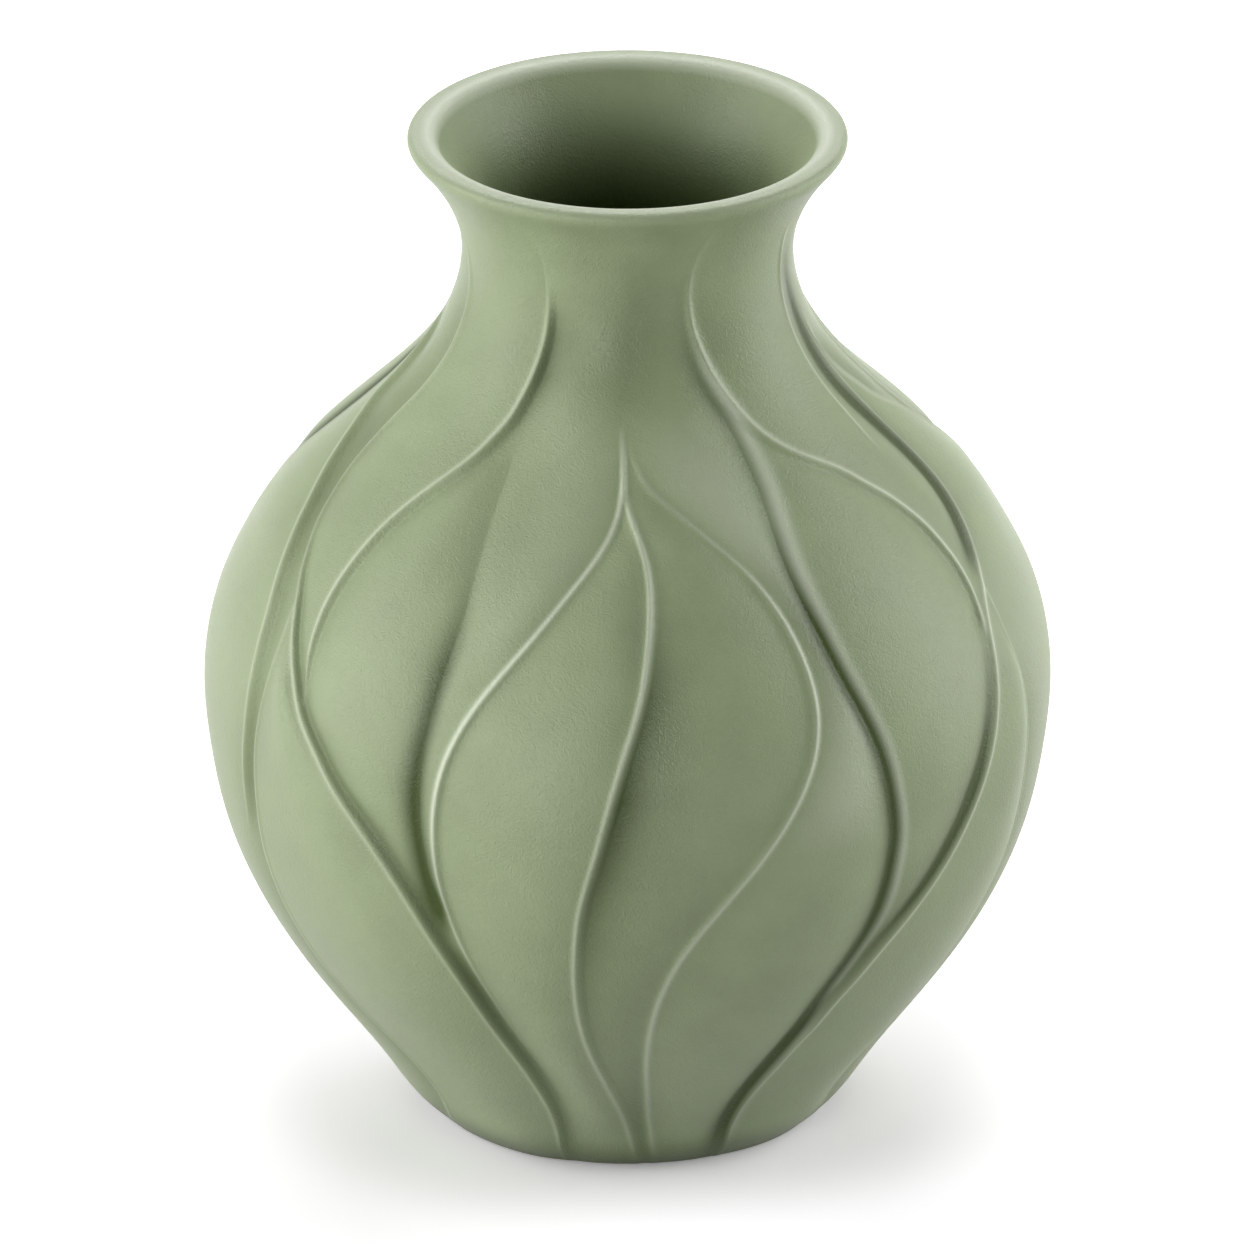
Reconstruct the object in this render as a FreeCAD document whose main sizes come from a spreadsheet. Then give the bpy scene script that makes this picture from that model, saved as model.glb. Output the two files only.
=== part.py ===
import FreeCAD, Part
import math
import os
import Sketcher

# A glazed ceramic baluster vase with a wide rolled mouth and overlapping carved leaves.
# The vase stands on its foot ring with the floor at zero height and its axis upright.
# The potter throws the wall in sections, lutes them at flat joints, and lays each leaf on as a slab.
# All sizes are in millimetres, and heights are counted from the floor.

# Driving sizes
SIZES = {
    "total_height": 300.0,
    "belly_radius": 120.3,
    "belly_height": 130.0,
    "flank_straight": 66.7,
    "shoulder_straight": 35.3,
    "upper_curve_share": 0.626,
    "waist_radius": 48.1,
    "waist_below_top": 36.0,
    "flare_reach": 10.1,
    "wall": 6.5,
    "foot_radius": 57.4,
    "foot_width": 11.0,
    "foot_height": 5.0,
    "foot_round": 2.0,
    "base_thickness": 8.0,
    "rim_height": 10.0,
    "lip_overhang": 5.2,
    "lip_width": 8.6,
    "lip_outer_round": 2.8,
    "lip_inner_round": 3.0,
    "leaf_thickness": 2.6,
}

# Heights along the outline, written once and used by every section that meets there
BASE_TOP = "(Sizes.foot_height + Sizes.base_thickness)"
WAIST_Z = "(Sizes.total_height - Sizes.waist_below_top)"
RIM_SEAT = "(Sizes.total_height - Sizes.rim_height)"

# The flank runs straight up from the foot and bends into the belly: the bend's radius, its centre
# and the straight's lean from upright follow from the straight's length
BELLY_STEP = "(Sizes.belly_radius - Sizes.foot_radius)"
LOWER_CURVE = f"(({BELLY_STEP}^2 + Sizes.belly_height^2 - Sizes.flank_straight^2) / (2 * {BELLY_STEP}))"
BELLY_X = f"(Sizes.belly_radius - {LOWER_CURVE})"
FLANK_RUN = f"({BELLY_X} - Sizes.foot_radius)"
FLANK_LEAN = (
    f"(atan2({FLANK_RUN}; Sizes.belly_height)"
    f" + asin({LOWER_CURVE} / sqrt({FLANK_RUN}^2 + Sizes.belly_height^2)))"
)

# The shoulder bends in from the belly, runs straight and bends up into the waist: both bends'
# radii together follow from the straight's length, and the upper curve's share divides them
SHOULDER_STEP = "(Sizes.belly_radius - Sizes.waist_radius)"
SHOULDER_RISE = f"({WAIST_Z} - Sizes.belly_height)"
BOTH_CURVES = (
    f"(({SHOULDER_STEP}^2 + {SHOULDER_RISE}^2 - Sizes.shoulder_straight^2)"
    f" / (2 * {SHOULDER_STEP}))"
)
UPPER_CURVE = f"({BOTH_CURVES} * Sizes.upper_curve_share)"
NECK_CURVE = f"({BOTH_CURVES} * (1 - Sizes.upper_curve_share))"
SHOULDER_X = f"(Sizes.belly_radius - {UPPER_CURVE})"
NECK_X = f"(Sizes.waist_radius + {NECK_CURVE})"
SHOULDER_LEAN = (
    f"(atan2({SHOULDER_RISE}; {NECK_X} - {SHOULDER_X})"
    f" - acos({BOTH_CURVES} / sqrt(({NECK_X} - {SHOULDER_X})^2 + {SHOULDER_RISE}^2)))"
)

# The neck flares out from the waist to the rim's seat in one bend
FLARE_RISE = "(Sizes.waist_below_top - Sizes.rim_height)"
FLARE_CURVE = f"((Sizes.flare_reach^2 + {FLARE_RISE}^2) / (2 * Sizes.flare_reach))"
FLARE_X = f"(Sizes.waist_radius + {FLARE_CURVE})"
LIP_X = "(Sizes.waist_radius + Sizes.flare_reach + Sizes.lip_overhang)"

# Leaf thickness across a leaf, from its left edge to its right edge: place share, thickness share
BOTH_EDGES_RAISED_SHARES = ((0.0, 0.60), (0.06, 0.98), (0.25, 0.70), (0.75, 0.70), (0.94, 0.98), (1.0, 0.60))
LEFT_EDGE_RAISED_SHARES = ((0.0, 0.60), (0.06, 0.98), (0.25, 0.72), (0.65, 0.68), (0.92, 0.45), (1.0, 0.30))
RIGHT_EDGE_RAISED_SHARES = ((0.0, 0.30), (0.08, 0.45), (0.35, 0.68), (0.75, 0.72), (0.94, 0.98), (1.0, 0.60))
EDGES_TUCKED_SHARES = ((0.0, 0.32), (0.10, 0.52), (0.35, 0.72), (0.65, 0.72), (0.90, 0.52), (1.0, 0.32))

# Each leaf's outline, from its upper end to its lower end.
# A row holds the height's share, the leaf's left and right edges in degrees round the vase
# from the front, and the thickness there as a share of leaf_thickness. The belly and the waist
# have the height shares named here, and the leaves follow both wherever these stand.
BELLY_SHARE = 0.4333
WAIST_SHARE = 0.88
CENTRE_LEAF_LEFT_HALF_SHARES = (
    (0.705, -3.6, 0.9, 0.70),
    (0.66, -9.4, 4.2, 1.0),
    (0.60, -17.8, 3.2, 1.0),
    (0.53, -24.7, 0.7, 1.0),
    (0.46, -27.7, -2.6, 1.0),
    (0.39, -28.1, -5.2, 1.0),
    (0.32, -26.5, -7.1, 1.0),
    (0.25, -23.3, -7.5, 1.0),
    (0.18, -18.8, -6.2, 1.0),
    (0.11, -15.0, -2.6, 0.95),
    (0.065, -14.4, 0.0, 0.85),
    (0.03, -14.9, 1.6, 0.65),
)
CENTRE_LEAF_RIGHT_HALF_SHARES = (
    (0.735, 0.9, 4.4, 0.70),
    (0.70, 3.4, 13.8, 1.0),
    (0.66, 5.5, 23.0, 1.0),
    (0.60, 5.0, 27.8, 1.0),
    (0.53, 2.3, 28.6, 1.0),
    (0.46, -1.0, 24.5, 1.0),
    (0.39, -3.6, 17.8, 1.0),
    (0.32, -5.5, 10.2, 1.0),
    (0.25, -5.9, 5.5, 1.0),
    (0.18, -4.6, 4.0, 0.95),
    (0.11, -1.0, 4.7, 0.85),
    (0.065, 1.5, 5.7, 0.75),
    (0.03, 3.3, 7.4, 0.60),
)
LEFT_LEAF_SHARES = (
    (0.755, -33.0, -30.6, 0.60),
    (0.72, -39.6, -30.2, 0.90),
    (0.68, -46.8, -29.6, 1.0),
    (0.64, -50.7, -29.1, 1.0),
    (0.59, -51.8, -29.5, 1.0),
    (0.53, -50.3, -30.8, 1.0),
    (0.48, -46.4, -31.6, 1.0),
    (0.43, -39.9, -31.6, 0.95),
    (0.395, -35.9, -31.1, 0.80),
    (0.365, -32.6, -30.5, 0.60),
)
LOWER_LEFT_LEAF_SHARES = (
    (0.565, -61.6, -59.6, 0.65),
    (0.53, -61.8, -55.4, 0.90),
    (0.48, -62.8, -49.6, 1.0),
    (0.43, -63.7, -43.2, 1.0),
    (0.38, -64.2, -36.9, 1.0),
    (0.33, -64.3, -32.1, 1.0),
    (0.28, -63.7, -28.2, 1.0),
    (0.23, -62.3, -25.0, 1.0),
    (0.18, -59.1, -22.2, 1.0),
    (0.13, -54.7, -19.6, 0.95),
    (0.085, -52.2, -17.9, 0.85),
    (0.05, -52.1, -17.5, 0.75),
    (0.028, -53.9, -18.0, 0.60),
)
LEFT_STRAP_LEAF_SHARES = (
    (0.865, -71.8, -28.6, 0.25),
    (0.84, -70.6, -29.2, 0.45),
    (0.81, -70.7, -31.0, 0.75),
    (0.775, -72.1, -34.3, 0.95),
    (0.74, -74.3, -39.6, 1.0),
    (0.705, -74.7, -46.5, 1.0),
    (0.67, -72.1, -51.1, 1.0),
    (0.635, -68.1, -53.1, 0.95),
    (0.60, -60.4, -53.8, 0.85),
    (0.57, -57.2, -53.8, 0.65),
)
RIGHT_LEAF_SHARES = (
    (0.755, 32.4, 35.2, 0.60),
    (0.735, 33.2, 40.6, 0.85),
    (0.705, 33.6, 52.2, 1.0),
    (0.67, 32.3, 58.9, 1.0),
    (0.63, 31.9, 62.1, 1.0),
    (0.58, 33.6, 62.8, 1.0),
    (0.53, 36.6, 62.6, 1.0),
    (0.48, 39.4, 59.2, 1.0),
    (0.43, 40.8, 55.7, 1.0),
    (0.38, 41.1, 51.5, 0.95),
    (0.335, 40.3, 46.5, 0.80),
    (0.30, 38.9, 42.2, 0.60),
)
RIGHT_STRAP_LEAF_SHARES = (
    (0.865, 22.6, 69.6, 0.25),
    (0.84, 24.5, 71.4, 0.45),
    (0.81, 28.2, 72.0, 0.75),
    (0.78, 33.1, 72.5, 0.95),
    (0.75, 39.9, 73.6, 1.0),
    (0.725, 49.3, 74.8, 1.0),
    (0.70, 56.5, 75.3, 1.0),
    (0.67, 62.0, 74.6, 1.0),
    (0.64, 64.5, 72.0, 0.85),
    (0.61, 65.3, 68.6, 0.65),
)
LOWER_RIGHT_LEAF_SHARES = (
    (0.565, 66.9, 69.9, 0.65),
    (0.53, 64.6, 70.4, 0.90),
    (0.48, 61.9, 71.5, 1.0),
    (0.43, 58.7, 72.2, 1.0),
    (0.38, 54.6, 72.6, 1.0),
    (0.33, 49.2, 72.3, 1.0),
    (0.28, 42.6, 71.0, 1.0),
    (0.23, 37.5, 69.0, 1.0),
    (0.18, 33.5, 67.5, 1.0),
    (0.13, 30.0, 64.6, 0.95),
    (0.085, 27.2, 60.8, 0.85),
    (0.05, 26.2, 59.6, 0.75),
    (0.028, 26.5, 61.2, 0.60),
)
SIDE_LEAF_SHARES = (
    (0.785, 78.9, 81.2, 0.60),
    (0.76, 79.8, 83.8, 0.80),
    (0.73, 80.3, 88.2, 1.0),
    (0.70, 80.2, 94.9, 1.0),
    (0.66, 78.5, 103.5, 1.0),
    (0.62, 74.0, 109.0, 1.0),
    (0.58, 71.4, 112.4, 1.0),
    (0.53, 71.8, 114.6, 1.0),
    (0.48, 73.0, 114.9, 1.0),
    (0.43, 73.6, 114.3, 1.0),
    (0.38, 74.0, 113.2, 0.95),
    (0.33, 73.8, 111.4, 0.80),
    (0.28, 72.6, 108.5, 0.65),
    (0.23, 70.8, 104.0, 0.55),
    (0.18, 69.2, 97.5, 0.50),
    (0.13, 66.6, 89.0, 0.45),
    (0.09, 63.6, 79.0, 0.40),
)

# Each leaf's thickness across and its outline
LEAVES = {
    "centre_leaf_left_half": (BOTH_EDGES_RAISED_SHARES, CENTRE_LEAF_LEFT_HALF_SHARES),
    "centre_leaf_right_half": (RIGHT_EDGE_RAISED_SHARES, CENTRE_LEAF_RIGHT_HALF_SHARES),
    "left_leaf": (EDGES_TUCKED_SHARES, LEFT_LEAF_SHARES),
    "lower_left_leaf": (BOTH_EDGES_RAISED_SHARES, LOWER_LEFT_LEAF_SHARES),
    "left_strap_leaf": (BOTH_EDGES_RAISED_SHARES, LEFT_STRAP_LEAF_SHARES),
    "right_leaf": (LEFT_EDGE_RAISED_SHARES, RIGHT_LEAF_SHARES),
    "right_strap_leaf": (LEFT_EDGE_RAISED_SHARES, RIGHT_STRAP_LEAF_SHARES),
    "lower_right_leaf": (BOTH_EDGES_RAISED_SHARES, LOWER_RIGHT_LEAF_SHARES),
    "side_leaf": (BOTH_EDGES_RAISED_SHARES, SIDE_LEAF_SHARES),
}

# The same leaves stand again behind the vase, half a turn round
LEAF_TURNS = {"front": 0.0, "back": 180.0}


def make_sheet(doc):
    """Writes the driving sizes into a spreadsheet, one alias a row."""
    sheet = doc.addObject("Spreadsheet::Sheet", "Sizes")
    for row, (alias, value) in enumerate(SIZES.items(), start=1):
        sheet.set(f"A{row}", alias)
        sheet.set(f"B{row}", str(value))
        sheet.setAlias(f"B{row}", alias)
    doc.recompute()
    return sheet


def flank_x(height):
    """The outside radius of the straight flank at a height."""
    return f"(Sizes.foot_radius + {height} * tan({FLANK_LEAN}))"


def inner_flank_x(height):
    """The inside radius of the straight flank at a height."""
    return f"({flank_x(height)} - Sizes.wall / cos({FLANK_LEAN}))"


def flare_x(radius, height):
    """The radius at a height on a flare of the given curve, above the waist."""
    return f"({FLARE_X} - sqrt(({radius})^2 - ({height} - {WAIST_Z})^2))"


def below_belly(radius):
    """The point where a lower curve of this radius meets the straight flank."""
    return (
        f"{BELLY_X} + ({radius}) * cos({FLANK_LEAN})",
        f"Sizes.belly_height - ({radius}) * sin({FLANK_LEAN})",
    )


def above_belly(radius):
    """The point where an upper curve of this radius meets the straight shoulder."""
    return (
        f"{SHOULDER_X} + ({radius}) * cos({SHOULDER_LEAN})",
        f"Sizes.belly_height + ({radius}) * sin({SHOULDER_LEAN})",
    )


def below_waist(radius):
    """The point where a neck curve of this radius meets the straight shoulder."""
    return (
        f"{NECK_X} - ({radius}) * cos({SHOULDER_LEAN})",
        f"{WAIST_Z} - ({radius}) * sin({SHOULDER_LEAN})",
    )


def arc_between(centre, radius, start, end):
    """Gives the shorter arc between two points, and whether it runs from the first to the second."""
    first = math.atan2(start.y - centre.y, start.x - centre.x)
    last = math.atan2(end.y - centre.y, end.x - centre.x)
    forward = (last - first) % math.tau < math.pi
    circle = Part.Circle(centre, FreeCAD.Vector(0, 0, 1), radius)
    if forward:
        return Part.ArcOfCircle(circle, first, last), True
    return Part.ArcOfCircle(circle, last, first), False


def pin_corner(sketch, line, point, axis, expression):
    """Ties one coordinate of a corner to the sheet, or to the axis where it is zero."""
    if expression == "0":
        sketch.addConstraint(Sketcher.Constraint("PointOnObject", line, point, -2 if axis == "X" else -1))
        return
    value = sketch.evalExpression(expression)
    index = sketch.addConstraint(Sketcher.Constraint(f"Distance{axis}", -1, 1, line, point, value))
    sketch.setExpression(f"Constraints[{index}]", expression)


def make_turned(doc, name, corners, arcs):
    """Turns a closed outline round the upright axis.

    corners are pairs of expressions for radius and height. arcs gives, for the stretch that leaves
    a corner, the expressions of its centre and its radius; every other stretch is straight.
    """
    body = doc.addObject("PartDesign::Body", name)
    body.Label = name
    sketch = body.newObject("Sketcher::SketchObject", name + "_outline")
    plane = next(p for p in body.Origin.OriginFeatures if p.Role == "XZ_Plane")
    sketch.AttachmentSupport = [(plane, "")]
    sketch.MapMode = "FlatFace"
    points = [
        FreeCAD.Vector(float(sketch.evalExpression(x)), float(sketch.evalExpression(y)), 0)
        for x, y in corners
    ]
    ends = []
    for number, start in enumerate(points):
        end = points[(number + 1) % len(points)]
        if number not in arcs:
            edge = sketch.addGeometry(Part.LineSegment(start, end), False)
            ends.append((edge, 1, 2))
            continue
        centre_x, centre_y, radius = arcs[number]
        centre = FreeCAD.Vector(
            float(sketch.evalExpression(centre_x)), float(sketch.evalExpression(centre_y)), 0
        )
        reach = float(sketch.evalExpression(radius))
        arc, forward = arc_between(centre, reach, start, end)
        edge = sketch.addGeometry(arc, False)
        ends.append((edge, 1, 2) if forward else (edge, 2, 1))
    for number, (edge, first, last) in enumerate(ends):
        following, start, _ = ends[(number + 1) % len(ends)]
        sketch.addConstraint(Sketcher.Constraint("Coincident", edge, last, following, start))
    for (edge, first, _), (x, y) in zip(ends, corners):
        pin_corner(sketch, edge, first, "X", x)
        pin_corner(sketch, edge, first, "Y", y)
    for number, (_, _, radius) in arcs.items():
        edge = ends[number][0]
        value = float(sketch.evalExpression(radius))
        index = sketch.addConstraint(Sketcher.Constraint("Radius", edge, value))
        sketch.setExpression(f"Constraints[{index}]", radius)
    turned = body.newObject("PartDesign::Revolution", name + "_turned")
    turned.Profile = sketch
    turned.ReferenceAxis = (sketch, ["V_Axis"])
    turned.Angle = 360.0
    body.Tip = turned
    return body


def make_foot_ring(doc):
    """The turned ring that the vase stands on."""
    inner = "(Sizes.foot_radius - Sizes.foot_width)"
    corners = [
        ("Sizes.foot_radius - Sizes.foot_round", "0"),
        ("Sizes.foot_radius", "Sizes.foot_round"),
        (flank_x("Sizes.foot_height"), "Sizes.foot_height"),
        (inner, "Sizes.foot_height"),
        (inner, "Sizes.foot_round"),
        (f"{inner} + Sizes.foot_round", "0"),
    ]
    arcs = {
        0: ("Sizes.foot_radius - Sizes.foot_round", "Sizes.foot_round", "Sizes.foot_round"),
        4: (f"{inner} + Sizes.foot_round", "Sizes.foot_round", "Sizes.foot_round"),
    }
    return make_turned(doc, "foot_ring", corners, arcs)


def make_base_slab(doc):
    """The round slab that closes the vase at the bottom."""
    corners = [
        ("0", "Sizes.foot_height"),
        (flank_x("Sizes.foot_height"), "Sizes.foot_height"),
        (flank_x(BASE_TOP), BASE_TOP),
        ("0", BASE_TOP),
    ]
    return make_turned(doc, "base_slab", corners, {})


def make_lower_wall(doc):
    """The bowl-shaped wall from the base slab up to the belly."""
    outside = LOWER_CURVE
    inside = f"{LOWER_CURVE} - Sizes.wall"
    corners = [
        (flank_x(BASE_TOP), BASE_TOP),
        below_belly(outside),
        ("Sizes.belly_radius", "Sizes.belly_height"),
        ("Sizes.belly_radius - Sizes.wall", "Sizes.belly_height"),
        below_belly(inside),
        (inner_flank_x(BASE_TOP), BASE_TOP),
    ]
    arcs = {
        1: (BELLY_X, "Sizes.belly_height", outside),
        3: (BELLY_X, "Sizes.belly_height", inside),
    }
    return make_turned(doc, "lower_wall", corners, arcs)


def make_shoulder_wall(doc):
    """The wall that closes in from the belly to the waist of the neck."""
    outside = UPPER_CURVE
    inside = f"{UPPER_CURVE} - Sizes.wall"
    neck_outside = NECK_CURVE
    neck_inside = f"{NECK_CURVE} + Sizes.wall"
    corners = [
        ("Sizes.belly_radius", "Sizes.belly_height"),
        above_belly(outside),
        below_waist(neck_outside),
        ("Sizes.waist_radius", WAIST_Z),
        ("Sizes.waist_radius - Sizes.wall", WAIST_Z),
        below_waist(neck_inside),
        above_belly(inside),
        ("Sizes.belly_radius - Sizes.wall", "Sizes.belly_height"),
    ]
    arcs = {
        0: (SHOULDER_X, "Sizes.belly_height", outside),
        2: (NECK_X, WAIST_Z, neck_outside),
        4: (NECK_X, WAIST_Z, neck_inside),
        6: (SHOULDER_X, "Sizes.belly_height", inside),
    }
    return make_turned(doc, "shoulder_wall", corners, arcs)


def make_neck_collar(doc):
    """The flared collar from the waist up to the seat of the rim."""
    outside = FLARE_CURVE
    inside = f"{FLARE_CURVE} + Sizes.wall"
    corners = [
        ("Sizes.waist_radius", WAIST_Z),
        (flare_x(outside, RIM_SEAT), RIM_SEAT),
        (flare_x(inside, RIM_SEAT), RIM_SEAT),
        ("Sizes.waist_radius - Sizes.wall", WAIST_Z),
    ]
    arcs = {
        0: (FLARE_X, WAIST_Z, outside),
        2: (FLARE_X, WAIST_Z, inside),
    }
    return make_turned(doc, "neck_collar", corners, arcs)


def make_mouth_rim(doc):
    """The rolled lip round the mouth."""
    top = "Sizes.total_height"
    inner = f"({LIP_X} - Sizes.lip_width)"
    outer_centre = (f"{LIP_X} - Sizes.lip_outer_round", f"{top} - Sizes.lip_outer_round")
    inner_centre = (f"{inner} + Sizes.lip_inner_round", f"{top} - Sizes.lip_inner_round")
    corners = [
        (flare_x(FLARE_CURVE, RIM_SEAT), RIM_SEAT),
        (LIP_X, outer_centre[1]),
        (outer_centre[0], top),
        (inner_centre[0], top),
        (inner, inner_centre[1]),
        (flare_x(f"{FLARE_CURVE} + Sizes.wall", RIM_SEAT), RIM_SEAT),
    ]
    arcs = {
        1: (*outer_centre, "Sizes.lip_outer_round"),
        3: (*inner_centre, "Sizes.lip_inner_round"),
    }
    return make_turned(doc, "mouth_rim", corners, arcs)


def make_leaf_seat(doc):
    """The vase's outside as one filled form, which gives every leaf the curve of its seat."""
    corners = [
        ("0", "0"),
        ("Sizes.foot_radius", "0"),
        below_belly(LOWER_CURVE),
        ("Sizes.belly_radius", "Sizes.belly_height"),
        above_belly(UPPER_CURVE),
        below_waist(NECK_CURVE),
        ("Sizes.waist_radius", WAIST_Z),
        (flare_x(FLARE_CURVE, RIM_SEAT), RIM_SEAT),
        ("0", RIM_SEAT),
    ]
    arcs = {
        2: (BELLY_X, "Sizes.belly_height", LOWER_CURVE),
        3: (SHOULDER_X, "Sizes.belly_height", UPPER_CURVE),
        5: (NECK_X, WAIST_Z, NECK_CURVE),
        6: (FLARE_X, WAIST_Z, FLARE_CURVE),
    }
    return make_turned(doc, "leaf_seat", corners, arcs)


def outside_radius(sheet, height):
    """The wall's outside radius at a height between the floor and the rim's seat."""
    def place(expression):
        return float(sheet.evalExpression(expression))

    if height < place(below_belly(LOWER_CURVE)[1]):
        return place(flank_x(str(height)))
    if height < sheet.belly_height:
        drop = height - sheet.belly_height
        return place(BELLY_X) + math.sqrt(place(LOWER_CURVE)**2 - drop**2)
    start_x, start_y = (place(e) for e in above_belly(UPPER_CURVE))
    end_x, end_y = (place(e) for e in below_waist(NECK_CURVE))
    if height < start_y:
        rise = height - sheet.belly_height
        return place(SHOULDER_X) + math.sqrt(place(UPPER_CURVE)**2 - rise**2)
    if height < end_y:
        return start_x + (end_x - start_x) * (height - start_y) / (end_y - start_y)
    if height < place(WAIST_Z):
        drop = height - place(WAIST_Z)
        return place(NECK_X) - math.sqrt(place(NECK_CURVE)**2 - drop**2)
    return place(flare_x(FLARE_CURVE, str(height)))


def leaf_height(sheet, height_share):
    """The height of a share of the leaf tables, between the floor, the belly and the waist."""
    if height_share < BELLY_SHARE:
        return height_share / BELLY_SHARE * sheet.belly_height
    shoulder_rise = float(sheet.evalExpression(SHOULDER_RISE))
    return sheet.belly_height + (height_share - BELLY_SHARE) / (WAIST_SHARE - BELLY_SHARE) * shoulder_rise


def leaf_section(sheet, across_shares, row):
    """One level cut through a leaf, from inside the wall out to its carved face."""
    height_share, left, right, thickness_share = row
    height = leaf_height(sheet, height_share)
    wall_radius = outside_radius(sheet, height)

    def point(radius, place_share):
        angle = math.radians(left + (right - left) * place_share)
        return FreeCAD.Vector(radius * math.sin(angle), -radius * math.cos(angle), height)

    face = []
    for place_share, share in across_shares:
        proud = share * thickness_share * sheet.leaf_thickness
        face.append(point(wall_radius + proud, place_share))
    seat_left = point(wall_radius - sheet.leaf_thickness, 0)
    seat_right = point(wall_radius - sheet.leaf_thickness, 1)
    curve = Part.BSplineCurve()
    curve.interpolate(face)
    return Part.Wire([
        curve.toShape(),
        Part.makeLine(face[-1], seat_right),
        Part.makeLine(seat_right, seat_left),
        Part.makeLine(seat_left, face[0]),
    ])


def make_leaf(doc, sheet, seat, name, turn, across_shares, rows):
    """One leaf: a slab through its level cuts, hollowed behind to the curve of the wall."""
    slab = doc.addObject("Part::Feature", name + "_slab")
    slab.Shape = Part.makeLoft([leaf_section(sheet, across_shares, row) for row in rows], True, False)
    slab.Placement = FreeCAD.Placement(
        FreeCAD.Vector(0, 0, 0), FreeCAD.Rotation(FreeCAD.Vector(0, 0, 1), turn)
    )
    leaf = doc.addObject("Part::Cut", name)
    leaf.Label = name
    leaf.Base = slab
    leaf.Tool = seat
    return leaf


def make_leaves(doc, sheet, seat):
    """Both sets of leaves, the front one and the one behind."""
    leaves = []
    for side, turn in LEAF_TURNS.items():
        for leaf_name, (across_shares, rows) in LEAVES.items():
            name = f"{side}_{leaf_name}"
            leaves.append(make_leaf(doc, sheet, seat, name, turn, across_shares, rows))
    return leaves


def check_document(doc, nodes):
    """Stops the build if a feature failed or a piece is not one valid solid."""
    for item in doc.Objects:
        if "Invalid" in item.State or "Error" in item.State:
            raise RuntimeError(f"{item.Name} failed: {item.State}")
    for node in nodes:
        shape = node.Shape
        if shape.isNull() or not shape.isValid():
            raise RuntimeError(f"{node.Label} has no valid shape")
        if len(shape.Solids) != 1:
            raise RuntimeError(f"{node.Label} has {len(shape.Solids)} solids")


def write_parts(nodes):
    """Writes each piece to its own STEP file, named after it."""
    os.makedirs("parts", exist_ok=True)
    for node in nodes:
        shape = node.Shape
        shape.exportStep(os.path.join("parts", node.Label + ".step"))
        print(node.Label, round(shape.Volume), len(shape.Faces))


def main():
    doc = FreeCAD.newDocument("LeafVase")
    sheet = make_sheet(doc)
    nodes = [
        make_foot_ring(doc),
        make_base_slab(doc),
        make_lower_wall(doc),
        make_shoulder_wall(doc),
        make_neck_collar(doc),
        make_mouth_rim(doc),
    ]
    seat = make_leaf_seat(doc)
    doc.recompute()
    nodes += make_leaves(doc, sheet, seat)
    doc.recompute()
    check_document(doc, nodes)
    write_parts(nodes)


main()
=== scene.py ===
import math
from collections import namedtuple

import bpy
import numpy as np
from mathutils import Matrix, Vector


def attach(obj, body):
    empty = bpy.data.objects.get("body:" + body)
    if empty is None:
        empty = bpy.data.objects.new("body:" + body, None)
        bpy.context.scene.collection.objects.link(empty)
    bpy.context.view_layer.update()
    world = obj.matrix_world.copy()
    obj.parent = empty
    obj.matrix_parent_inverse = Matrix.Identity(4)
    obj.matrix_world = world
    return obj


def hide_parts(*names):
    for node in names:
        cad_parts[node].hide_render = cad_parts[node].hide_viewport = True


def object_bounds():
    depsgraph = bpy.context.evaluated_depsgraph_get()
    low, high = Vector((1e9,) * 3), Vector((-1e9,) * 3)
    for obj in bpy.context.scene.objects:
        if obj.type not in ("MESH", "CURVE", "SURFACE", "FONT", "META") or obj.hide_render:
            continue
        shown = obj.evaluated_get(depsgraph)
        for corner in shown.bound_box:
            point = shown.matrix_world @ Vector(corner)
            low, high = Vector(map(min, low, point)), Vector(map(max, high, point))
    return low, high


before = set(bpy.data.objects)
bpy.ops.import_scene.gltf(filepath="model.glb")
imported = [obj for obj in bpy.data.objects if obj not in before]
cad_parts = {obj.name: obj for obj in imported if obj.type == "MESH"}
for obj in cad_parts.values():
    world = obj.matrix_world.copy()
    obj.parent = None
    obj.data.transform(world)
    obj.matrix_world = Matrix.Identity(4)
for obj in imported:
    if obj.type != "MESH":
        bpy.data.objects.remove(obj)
cad_low, cad_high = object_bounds()

# The vase's height in metres. A single number whose name ends in SHARE is a share of it.
HEIGHT = cad_high.z

# A millimetre on a vase of the nominal height, which grows and shrinks with the vase
NOMINAL_HEIGHT = 300.0
MM = HEIGHT / NOMINAL_HEIGHT

# Camera: how far above level it stands, how far off, how far it sees, how wide its view is at the vase and
# how wide its sensor is in millimetres, how far it stands to the left of the axis, and what height it faces
VIEW_ELEVATION = math.radians(23.0)
VIEW_DISTANCE = 50.0 * HEIGHT
VIEW_REACH = 10.0 * VIEW_DISTANCE
VIEW_WIDTH = 1.2063 * HEIGHT
SENSOR_WIDTH = 36.0
AXIS_OFFSET = 0.0005 * HEIGHT
AIM_HEIGHT = 0.4840 * HEIGHT

# Wall mesh: columns round the vase, steps along its outline, how finely a curve is sampled to set them
# out, and where on the unrolled map the rows between the two end fans start and what part they fill
COLUMNS = 1600
OUTER_STEP = 0.0023 * HEIGHT
INNER_STEP = 0.013 * HEIGHT
CURVE_SAMPLES = 6000
MAP_START = 0.02
MAP_PART = 0.96

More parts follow.
